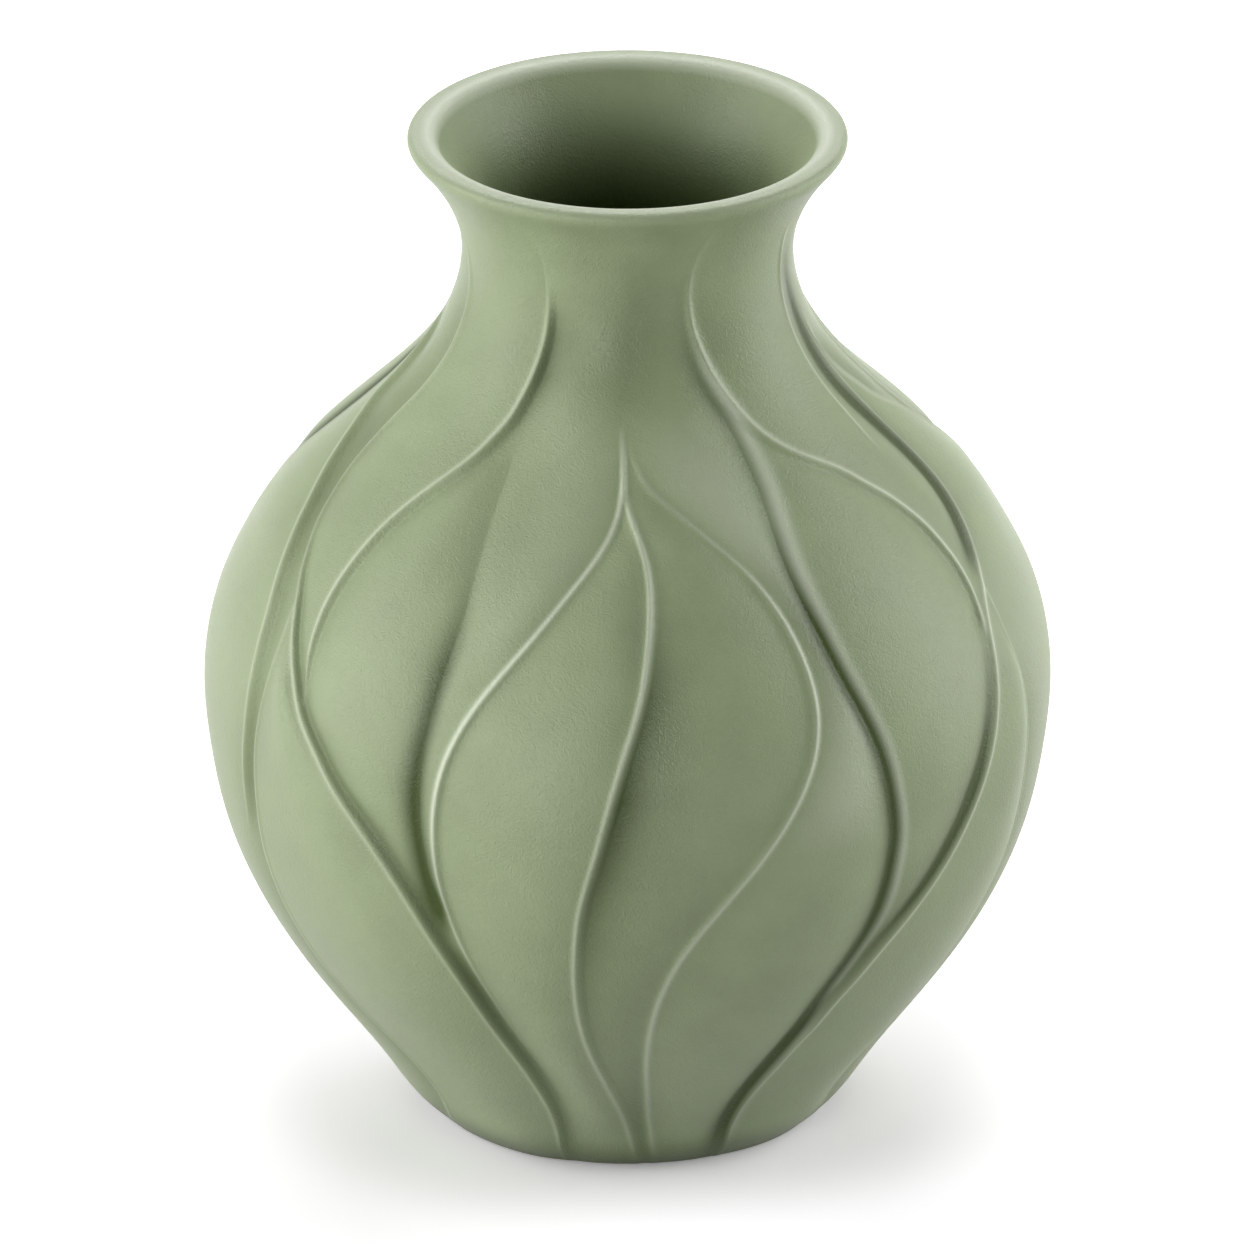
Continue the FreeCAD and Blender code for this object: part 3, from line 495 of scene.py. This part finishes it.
def spline(knots, values, at):
    """A natural cubic spline through the values, read at the given places."""
    knots = np.asarray(knots, float)
    values = np.asarray(values, float)
    gaps = np.diff(knots)
    slopes = np.diff(values) / gaps
    count = len(knots)
    matrix = np.zeros((count, count))
    right = np.zeros(count)
    matrix[0, 0] = matrix[-1, -1] = 1.0
    for i in range(1, count - 1):
        matrix[i, i - 1] = gaps[i - 1]
        matrix[i, i] = 2 * (gaps[i - 1] + gaps[i])
        matrix[i, i + 1] = gaps[i]
        right[i] = 6 * (slopes[i] - slopes[i - 1])
    bend = np.linalg.solve(matrix, right)
    at = np.clip(at, knots[0], knots[-1])
    span = np.clip(np.searchsorted(knots, at) - 1, 0, count - 2)
    gap = gaps[span]
    before = (knots[span + 1] - at) / gap
    after = (at - knots[span]) / gap
    curve = (before**3 - before) * bend[span] + (after**3 - after) * bend[span + 1]
    return before * values[span] + after * values[span + 1] + curve * gap**2 / 6


def smooth(x):
    """A smooth step from 0 to 1."""
    x = np.clip(x, 0.0, 1.0)
    return x * x * (3 - 2 * x)


def bell(off, half):
    """One in the middle, falling smoothly to nought on both sides."""
    return np.exp(-((off / half) ** 2))


def run_lengths(points):
    """How far along a path each of its points lies."""
    return np.concatenate([[0], np.cumsum(np.linalg.norm(np.diff(points, axis=0), axis=1))])


def within_half_turn(angle):
    """An angle difference brought within a quarter turn either way, as each half turn is the same."""
    return (angle + HALF_TURN / 2) % HALF_TURN - HALF_TURN / 2


def line_at(name, shares):
    """A line's place in degrees at each height share."""
    table = LINES[name]
    return spline([s for s, _ in table], [a for _, a in table], shares)


def envelope(ends, shares):
    """How strong a line is at each height share: it fades in and out at its ends."""
    low, low_fade, high, high_fade = ends
    rising = smooth((shares - low) / low_fade) if low > 0 else np.ones_like(shares)
    return rising * smooth((high - shares) / high_fade)


def columns_at(rows, shares):
    """Each column of a table, after its height shares, read at the given height shares."""
    table = np.array(rows)
    return [np.interp(shares, table[:, 0], column)[:, None] for column in table[:, 1:].T]


def drop(off, deepest, recovery, wide):
    """The drop beside an edge: nought at the edge, one where it is deepest, and nought again far off."""
    deepest = deepest * np.minimum(wide, 1)
    beyond = np.maximum(off - deepest, 0) / (recovery * wide)
    return smooth(off / deepest) * np.exp(-(beyond**2) / (1 + beyond))


def trough(off, half_widths):
    """The shape of a valley with its own half width on each side."""
    half = np.where(off < 0, half_widths[0], half_widths[1])
    return np.exp(-np.abs(off / half) ** TROUGH_POWER)


def edge_shape(edge, off, places, shares):
    """An edge's height over the wall, its crest painted pale (thinned glaze, painted highlight) and its
    drops painted dark (glaze pooling, painted shade).
    """
    crest, tint, left_depth, right_depth, pool_and_shade_share, wide = columns_at(edge.rows, shares)

    def sunk(off):
        """How deep the drops at both sides are."""
        left = left_depth * drop(-off, *edge.left_drop, wide)
        right = right_depth * drop(off, *edge.right_drop, wide)
        return left + right

    leaning = off + LEAN * np.clip(places / LEAN_ANGLE, -1, 1)
    height = crest * bell(leaning, edge.crest_half) - sunk(leaning)
    # The crest is painted pale (thinned glaze and painted highlight) and the drops dark (glaze pooling and
    # painted shade).
    return height, tint * bell(off, edge.crest_half), pool_and_shade_share * sunk(off) / POOL_AND_SHADE_DEPTH


def valley_shape(valley, off, places, shares):
    """A valley's height over the wall, its bank painted pale as a highlight, and its trough painted dark
    (glaze pooling, painted shade).
    """
    deep, fold, bank, pool_and_shade_share, tint, bank_half = columns_at(valley.rows, shares)
    off = off - VALLEY_LEAN * np.clip(np.tan(np.radians(places)), -MOST_SLANT, MOST_SLANT)
    ridge = bell(off - BANK_PLACE, bank_half)
    sunk = deep * trough(off, valley.trough_halves) + fold * trough(off, valley.fold_halves)
    # The bank is painted pale as a highlight, and the trough dark (glaze pooling and painted shade).
    return bank * ridge - sunk, tint * ridge, pool_and_shade_share * trough(off, valley.pool_halves)


def field_shape(field, shares, radii, degrees):
    """The rows that a leaf swells on, how high it swells there, and how pale it is painted there as a
    highlight.
    """
    start = line_at(field.left, shares)
    width = within_half_turn(line_at(field.right, shares) - start)
    strength = envelope((field.low, FIELD_FADE_SHARE, field.high, FIELD_FADE_SHARE), shares)
    strength *= smooth(width * np.radians(1.0) * radii / MM / FIELD_FULL_WIDTH)
    rows = np.nonzero((strength > 0) & (width > FIELD_LEAST_ANGLE))[0]
    place = np.clip(within_half_turn(degrees - start[rows, None]) / width[rows, None], 0, 1)
    middle_to_peak = math.log(0.5) / math.log(field.peak)
    bulge = strength[rows, None] * np.sin(np.pi * place**middle_to_peak)
    # The leaf is painted paler where it swells most, as a painted highlight.
    return rows, field.height * bulge, field.tint * bulge


def relief(shares, radii, lengths, degrees):
    """The relief over half a turn: its height in metres, and how far it is painted pale (thinned glaze,
    painted highlight) and dark (glaze pooling, painted shade).
    """
    total = np.zeros((len(shares), len(degrees)))
    thin_and_highlight = np.zeros_like(total)
    pool_and_shade = np.zeros_like(total)
    for name, line in (EDGES | VALLEYS).items():
        places = line_at(name, shares)
        slope = np.gradient(np.radians(places), lengths) * radii
        scale = np.radians(1.0) * radii / np.sqrt(1 + slope**2)
        strength = envelope(line.ends, shares)
        rows = np.nonzero(strength > 0)[0]
        places = places[rows, None]
        strength = strength[rows, None]
        off = within_half_turn(degrees - places) * scale[rows, None] / MM
        shape = edge_shape if name in EDGES else valley_shape
        height, pale, deep = shape(line, off, places, shares[rows])
        total[rows] += height * strength
        # Pale paint (thinned glaze, painted highlight) and dark paint (glaze pooling, painted shade)
        # gathered over the half turn.
        thin_and_highlight[rows] = np.maximum(thin_and_highlight[rows], pale * strength)
        pool_and_shade[rows] += deep * strength
    for field in FIELDS:
        rows, height, pale = field_shape(field, shares, radii, degrees)
        total[rows] += height
        thin_and_highlight[rows] = np.maximum(thin_and_highlight[rows], pale)
    total = (total - total.mean(axis=1)[:, None]) * MM
    return total, thin_and_highlight, np.clip(pool_and_shade, 0, 1)


def curve_points(shares, step):
    """Evenly spaced points along a smooth curve through the given places."""
    places = np.array(shares) * HEIGHT
    chords = run_lengths(places)
    fine = np.linspace(0, chords[-1], CURVE_SAMPLES)
    dense = np.stack([spline(chords, places[:, i], fine) for i in range(2)], axis=1)
    run = run_lengths(dense)
    count = max(2, round(run[-1] / step))
    even = np.linspace(0, run[-1], count + 1)
    return np.stack([np.interp(even, run, dense[:, i]) for i in range(2)], axis=1)


def outline_normals(outline, lengths):
    """The direction square to an outline at each of its points."""
    tangent = np.gradient(outline, lengths, axis=0)
    tangent /= np.linalg.norm(tangent, axis=1)[:, None]
    return np.stack([tangent[:, 1], -tangent[:, 0]], axis=1)


def relief_mask(shares, top):
    """How much of the relief is kept at each row: none on the lip, and little at the foot."""
    below_lip = smooth((RELIEF_TOP_SHARE - shares) / RELIEF_TOP_FADE_SHARE)
    above_foot = smooth((shares - RELIEF_FOOT_SHARE) / RELIEF_FOOT_FADE_SHARE)
    mask = below_lip * (RELIEF_AT_FOOT + (1 - RELIEF_AT_FOOT) * above_foot)
    mask[top:] = 0
    return mask


def lip_thinning_and_highlight(radius_shares, shares, top):
    """How pale the lip is painted, as thinned glaze and painted highlight, and most of all round its inner
    edge.
    """
    # A painted highlight round the lip's inner edge, over a paler band on the lip's top.
    inner_edge_highlight = bell(radius_shares - LIP_EDGE_SHARE, LIP_EDGE_HALF_SHARE)
    inner_edge_highlight[:top + 1] = 0
    return LIP_THIN_AND_HIGHLIGHT * smooth((shares - LIP_SHARE) / LIP_FADE_SHARE) + inner_edge_highlight


def outside_shade(shares):
    """How dark the outside is painted as shade: low down by the foot, and under the lip at the waist of the
    neck.
    """
    # Painted shade, darker towards the foot and in a band at the waist of the neck.
    shade_low_down = FOOT_SHADE * smooth(1 - shares / FOOT_SHADE_SHARE)
    return shade_low_down + WAIST_SHADE * bell(shares - WAIST_SHARE, WAIST_HALF_SHARE)


def inside_shade(shares):
    """How dark the inside of the vase is painted as shade, from just below the lip downward."""
    return INSIDE_SHADE * smooth((INSIDE_SHARE - shares) / INSIDE_FADE_SHARE)


def outside_maps(outer):
    """The outside's relief in metres, and how pale (thinned glaze, painted highlight) and dark (glaze
    pooling, painted shade) it is painted, all round each row.
    """
    shares = outer[:, 1] / HEIGHT
    top = int(np.argmax(outer[:, 1]))
    mask = relief_mask(shares, top)
    rows = np.nonzero(mask > 0)[0]
    degrees = np.arange(COLUMNS // 2) * FULL_TURN / COLUMNS - HALF_TURN / 2
    maps = relief(shares[rows], outer[rows, 0], run_lengths(outer)[rows], degrees)
    lift, thin_and_highlight, pool_and_shade = np.zeros((3, len(outer), COLUMNS))
    for full, half in zip((lift, thin_and_highlight, pool_and_shade), maps):
        full[rows] = np.tile(half * mask[rows, None], 2)
    # The lip painted pale as thinned glaze and painted highlight, then painted shade low down and at the
    # waist.
    thin_and_highlight += lip_thinning_and_highlight(outer[:, 0] / HEIGHT, shares, top)[:, None]
    pool_and_shade += outside_shade(shares)[:, None]
    return lift, thin_and_highlight, pool_and_shade


def make_wall():
    """The glazed wall, lip and inside as one closed mesh with the leaf relief."""
    under = np.array(UNDER_SHARES) * HEIGHT
    outer = curve_points(OUTER_SHARES, OUTER_STEP)
    inner = curve_points(INNER_SHARES, INNER_STEP)
    inner = np.concatenate([inner, np.array(INSIDE_FLOOR_SHARES) * HEIGHT])
    rows = np.concatenate([under, outer, inner])
    outside = slice(len(under), len(under) + len(outer))
    inside = slice(outside.stop, len(rows))

    radius = np.repeat(rows[:, :1], COLUMNS, axis=1)
    level = np.repeat(rows[:, 1:], COLUMNS, axis=1)
    thin_and_highlight, pool_and_shade = np.zeros((2, len(rows), COLUMNS))
    lift, thin_and_highlight[outside], pool_and_shade[outside] = outside_maps(outer)
    # Painted shade inside the vase.
    pool_and_shade[inside] = inside_shade(inner[:, 1] / HEIGHT)[:, None]
    normal = outline_normals(outer, run_lengths(outer))
    radius[outside] += normal[:, :1] * lift
    level[outside] += normal[:, 1:] * lift

    angles = np.radians(np.arange(COLUMNS) * FULL_TURN / COLUMNS - HALF_TURN / 2)
    points = np.stack([radius * np.sin(angles), -radius * np.cos(angles), level], axis=-1)
    wall = build_grid("glazed_wall", points, rows)
    # The painted highlight and painted shade are kept on the mesh's points for the glaze.
    for name, values in (("thin_and_highlight", thin_and_highlight), ("pool_and_shade", pool_and_shade)):
        values = np.concatenate([values.ravel(), [0, 0]]).astype(np.float32)
        wall.data.attributes.new(name, "FLOAT", "POINT").data.foreach_set("value", values)
    return wall


def place_mesh(name, mesh):
    """A new object at the origin that shows the mesh."""
    piece = bpy.data.objects.new(name, mesh)
    bpy.context.scene.collection.objects.link(piece)
    return piece


def grid_corners(count, columns):
    """The corners of the quads over rows of rings, and of the triangles of the fan at each end."""
    ring = np.arange(columns)
    following = (ring + 1) % columns
    base = (np.arange(count - 1) * columns)[:, None]
    quads = [base + ring, base + following, base + columns + following, base + columns + ring]
    low_pole = np.full(columns, count * columns)
    last = (count - 1) * columns
    low_fan = np.stack([following, ring, low_pole], axis=-1)
    high_fan = np.stack([last + ring, last + following, low_pole + 1], axis=-1)
    return np.stack(quads, axis=-1), np.concatenate([low_fan, high_fan])


def grid_map(rows, columns):
    """Each corner's place on one square map: across it round the vase, and up it along the outline."""
    across = np.arange(columns + 1) / columns
    run = run_lengths(rows)
    up = MAP_START + MAP_PART * run / run[-1]
    u = np.stack([across[:-1], across[1:], across[1:], across[:-1]], axis=-1)
    v = np.stack([up[:-1], up[:-1], up[1:], up[1:]], axis=-1)
    shape = (len(rows) - 1, columns, 4)
    quads = np.stack([np.broadcast_to(u, shape), np.broadcast_to(v[:, None, :], shape)], axis=-1)
    middle = (across[:-1] + across[1:]) / 2
    first, last = np.full(columns, up[0]), np.full(columns, up[-1])
    low_fan = np.stack([across[1:], first, across[:-1], first, middle, np.zeros(columns)], axis=-1)
    high_fan = np.stack([across[:-1], last, across[1:], last, middle, np.ones(columns)], axis=-1)
    return np.concatenate([quads.ravel(), low_fan.ravel(), high_fan.ravel()])


def build_grid(name, points, rows):
    """A mesh of quads over rows of rings, closed by a fan at each end, with its square map."""
    count, columns = points.shape[:2]
    poles = np.array([[0, 0, rows[0, 1]], [0, 0, rows[-1, 1]]])
    flat = np.concatenate([points.reshape(-1, 3), poles])
    quads, fans = grid_corners(count, columns)
    corners = np.concatenate([quads.ravel(), fans.ravel()])
    sizes = np.concatenate([np.full((count - 1) * columns, 4), np.full(len(fans), 3)])
    starts = np.concatenate([[0], np.cumsum(sizes)[:-1]])
    mesh = bpy.data.meshes.new(name)
    mesh.vertices.add(len(flat))
    mesh.vertices.foreach_set("co", flat.astype(np.float32).ravel())
    mesh.loops.add(len(corners))
    mesh.loops.foreach_set("vertex_index", corners.astype(np.int32))
    mesh.polygons.add(len(sizes))
    mesh.polygons.foreach_set("loop_start", starts.astype(np.int32))
    mesh.update(calc_edges=True)
    mesh.shade_smooth()
    places = grid_map(rows, columns)
    mesh.uv_layers.new(name="OFBake").data.foreach_set("uv", places.astype(np.float32))
    return place_mesh(name, mesh)


def rounded_edge(flank, side, turns):
    """Points round a lower edge of the foot ring, whose foot lies on the given side of the flank."""
    return [(flank + side * RING_ROUND_SHARE * (1 - math.cos(a)), RING_ROUND_SHARE * (1 - math.sin(a)))
            for a in np.radians(turns)]


def foot_ring_outline():
    """The outline of the ring that the vase stands on, with both lower edges rounded."""
    outline = [(RING_OUTER_SHARE, RING_TOP_SHARE), (RING_INNER_SHARE, RING_TOP_SHARE)]
    outline += rounded_edge(RING_INNER_SHARE, 1, RING_ROUND_TURNS)
    outline += rounded_edge(RING_OUTER_SHARE, -1, RING_ROUND_TURNS[::-1])
    return outline


def turn_outline(name, outline, columns):
    """A closed ring turned from an outline in shares of the height."""
    angles = [math.tau * k / columns for k in range(columns)]
    points = [(r * HEIGHT * math.sin(a), -r * HEIGHT * math.cos(a), z * HEIGHT)
              for a in angles for r, z in outline]
    count = len(outline)
    faces = [(k * count + i, k * count + (i + 1) % count,
              (k + 1) % columns * count + (i + 1) % count, (k + 1) % columns * count + i)
             for k in range(columns) for i in range(count)]
    mesh = bpy.data.meshes.new(name)
    mesh.from_pydata(points, [], faces)
    mesh.update()
    mesh.shade_smooth()
    return place_mesh(name, mesh)


def set_inputs(node, **inputs):
    """Sets a node's unlinked inputs, whose names are given with _ for each space."""
    for name, value in inputs.items():
        node.inputs[name.replace("_", " ")].default_value = value


def add_node(tree, kind, **inputs):
    """A shader node with its unlinked inputs set."""
    node = tree.nodes.new(kind)
    set_inputs(node, **inputs)
    return node


def new_material(name):
    """A material with its node tree and its shader."""
    material = bpy.data.materials.new(name)
    material.use_nodes = True
    return material, material.node_tree, material.node_tree.nodes["Principled BSDF"]


def noise(tree, **inputs):
    """Noise over the piece's own coordinates."""
    place = tree.nodes.new("ShaderNodeTexCoord")
    node = add_node(tree, "ShaderNodeTexNoise", **inputs)
    tree.links.new(place.outputs["Object"], node.inputs["Vector"])
    return node.outputs["Fac"]


def spread(tree, value, low, high):
    """Noise spread so that it runs from low to high."""
    node = add_node(tree, "ShaderNodeMapRange", From_Min=NOISE_LOW, From_Max=NOISE_HIGH,
                    To_Min=low, To_Max=high)
    tree.links.new(value, node.inputs["Value"])
    return node.outputs["Result"]


def attribute(tree, name):
    """A value that the mesh holds at each point."""
    node = tree.nodes.new("ShaderNodeAttribute")
    node.attribute_name = name
    return node.outputs["Fac"]


def tinted(tree, colour, tone):
    """A colour made lighter and darker by a tone about one."""
    node = tree.nodes.new("ShaderNodeMix")
    node.data_type = "RGBA"
    node.blend_type = "MULTIPLY"
    set_inputs(node, Factor=1.0, A=(*colour, 1))
    tree.links.new(tone, node.inputs["B"])
    return node.outputs["Result"]


def turning_to(tree, start, colour, share):
    """A colour that turns to another one by a share that varies over the surface."""
    node = tree.nodes.new("ShaderNodeMix")
    node.data_type = "RGBA"
    set_inputs(node, B=(*colour, 1))
    tree.links.new(share, node.inputs["Factor"])
    tree.links.new(start, node.inputs["A"])
    return node.outputs["Result"]


def add_bump(tree, shader, height, strength, depth):
    """Fine unevenness of the surface."""
    node = add_node(tree, "ShaderNodeBump", Strength=strength, Distance=depth)
    tree.links.new(height, node.inputs["Height"])
    tree.links.new(node.outputs["Normal"], shader.inputs["Normal"])


def glaze():
    """Satin sage glaze, painted pale on raised edges and the lip (thinned glaze, painted highlight) and
    dark in grooves, by the foot, under the lip and inside (glaze pooling, painted shade), with a fine peel.
    """
    material, tree, shader = new_material("sage_glaze")
    cloud = noise(tree, **CLOUD)
    colour = tinted(tree, GLAZE, spread(tree, cloud, *CLOUD_TONES))
    # Pale where the mesh says so (thinned glaze, painted highlight), and dark where it says so (glaze
    # pooling, painted shade).
    colour = turning_to(tree, colour, THIN_GLAZE_AND_HIGHLIGHT, attribute(tree, "thin_and_highlight"))
    colour = turning_to(tree, colour, POOLED_GLAZE_AND_SHADE, attribute(tree, "pool_and_shade"))
    tree.links.new(colour, shader.inputs["Base Color"])
    tree.links.new(spread(tree, cloud, *GLAZE_ROUGHNESS), shader.inputs["Roughness"])
    set_inputs(shader, Specular_IOR_Level=GLAZE_GLOSS)
    add_bump(tree, shader, noise(tree, **PEEL), PEEL_STRENGTH, PEEL_DEPTH)
    return material


def clay():
    """Bare fired clay, fine and slightly speckled."""
    material, tree, shader = new_material("bare_clay")
    grain = noise(tree, **CLAY_GRAIN)
    colour = tinted(tree, BARE_CLAY, spread(tree, grain, *CLAY_TONES))
    tree.links.new(colour, shader.inputs["Base Color"])
    set_inputs(shader, Roughness=CLAY_ROUGHNESS)
    add_bump(tree, shader, grain, CLAY_STRENGTH, CLAY_DEPTH)
    return material


def joined(tree, operation, first, second):
    """Two values joined by an operation such as a product or the larger one."""
    node = tree.nodes.new("ShaderNodeMath")
    node.operation = operation
    tree.links.new(first, node.inputs[0])
    tree.links.new(second, node.inputs[1])
    return node.outputs[0]


def any_ray(tree, names):
    """One for the rays that are named, and nought for any other."""
    path = tree.nodes.new("ShaderNodeLightPath")
    total = path.outputs[names[0]]
    for name in names[1:]:
        total = joined(tree, "MAXIMUM", total, path.outputs[name])
    return total


def floor_glow(tree, rays, ramp, far_glow):
    """The floor's glow for the given rays: faint under the vase, and rising over the ramp's distances."""
    place = tree.nodes.new("ShaderNodeTexCoord")
    reach = tree.nodes.new("ShaderNodeVectorMath")
    reach.operation = "DISTANCE"
    reach.inputs[1].default_value = FLOOR_MIDDLE
    tree.links.new(place.outputs["Object"], reach.inputs[0])
    level = add_node(tree, "ShaderNodeMapRange", From_Min=ramp[0], From_Max=ramp[1],
                     To_Min=FLOOR_GLOW, To_Max=far_glow)
    level.interpolation_type = "SMOOTHSTEP"
    tree.links.new(reach.outputs["Value"], level.inputs["Value"])
    return joined(tree, "MULTIPLY", rays, level.outputs["Result"])


def floor_white():
    """Pale matt floor that looks white and keeps the vase's soft shadow."""
    material, tree, shader = new_material("floor_white")
    seen = any_ray(tree, SEEN_RAYS)
    mirrored_too = any_ray(tree, SEEN_AND_MIRRORED_RAYS)
    tone = tree.nodes.new("ShaderNodeMix")
    tone.data_type = "RGBA"
    set_inputs(tone, A=(*FLOOR_TONE, 1), B=(*FLOOR_SEEN_TONE, 1))
    tree.links.new(mirrored_too, tone.inputs["Factor"])
    tree.links.new(tone.outputs["Result"], shader.inputs["Base Color"])
    set_inputs(shader, Roughness=1.0, Specular_IOR_Level=0.0, Emission_Color=(*WHITE, 1))
    near_glow = floor_glow(tree, seen, FLOOR_NEAR_RAMP, FLOOR_NEAR_GLOW)
    far_glow = floor_glow(tree, mirrored_too, FLOOR_FAR_RAMP, FLOOR_FAR_GLOW)
    tree.links.new(joined(tree, "MAXIMUM", near_glow, far_glow), shader.inputs["Emission Strength"])
    return material


def make_stage():
    """A wide level floor under the vase."""
    size = FLOOR_HALF_WIDTH
    mesh = bpy.data.meshes.new("floor")
    corners = [(-size, -size, 0), (size, -size, 0), (size, size, 0), (-size, size, 0)]
    mesh.from_pydata(corners, [], [(0, 1, 2, 3)])
    floor = place_mesh("floor", mesh)
    floor.data.materials.append(floor_white())


def area_lamp(name, place, size, power, aim):
    """A soft rectangular lamp that faces a point."""
    data = bpy.data.lights.new(name, "AREA")
    data.shape = "RECTANGLE"
    data.size, data.size_y = size
    data.energy = power
    lamp = bpy.data.objects.new(name, data)
    bpy.context.scene.collection.objects.link(lamp)
    lamp.location = Vector(place)
    lamp.rotation_euler = (Vector(aim) - Vector(place)).to_track_quat("-Z", "Y").to_euler()


def make_light():
    """Plain soft studio light: a broad lamp at each side, one high behind and a weak one in front."""
    for name, turn, rise, size, power in LAMPS:
        turn, rise = math.radians(turn), math.radians(rise)
        place = Vector((math.sin(turn) * math.cos(rise), -math.cos(turn) * math.cos(rise), math.sin(rise)))
        area_lamp(name, place * LAMP_DISTANCE + Vector(LAMP_AIM), size, power, LAMP_AIM)


def make_backdrop():
    """A surround that looks white and gives no light."""
    world = bpy.data.worlds.new("world")
    bpy.context.scene.world = world
    world.use_nodes = True
    tree = world.node_tree
    back = tree.nodes["Background"]
    set_inputs(back, Color=(*WHITE, 1))
    tree.links.new(any_ray(tree, SEEN_AND_MIRRORED_RAYS), back.inputs["Strength"])


def make_camera():
    """The camera at the photograph's angle, with a long lens."""
    data = bpy.data.cameras.new("camera")
    data.sensor_width = SENSOR_WIDTH
    data.lens = SENSOR_WIDTH * VIEW_DISTANCE / VIEW_WIDTH
    data.clip_end = VIEW_REACH
    camera = bpy.data.objects.new("camera", data)
    bpy.context.scene.collection.objects.link(camera)
    back = Vector((0, -math.cos(VIEW_ELEVATION), math.sin(VIEW_ELEVATION)))
    camera.location = Vector((-AXIS_OFFSET, 0, AIM_HEIGHT)) + back * VIEW_DISTANCE
    camera.rotation_mode = "QUATERNION"
    camera.rotation_quaternion = (-back).to_track_quat("-Z", "Y")
    bpy.context.scene.camera = camera


make_camera()
wall = make_wall()
wall.data.materials.append(glaze())
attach(wall, "root")
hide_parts(*[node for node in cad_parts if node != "foot_ring"])
foot = turn_outline("foot_ring_clay", foot_ring_outline(), RING_COLUMNS)
foot.data.materials.append(clay())
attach(foot, "root")
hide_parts("foot_ring")
make_stage()
make_light()
make_backdrop()
bpy.context.scene.view_settings.view_transform = "Standard"
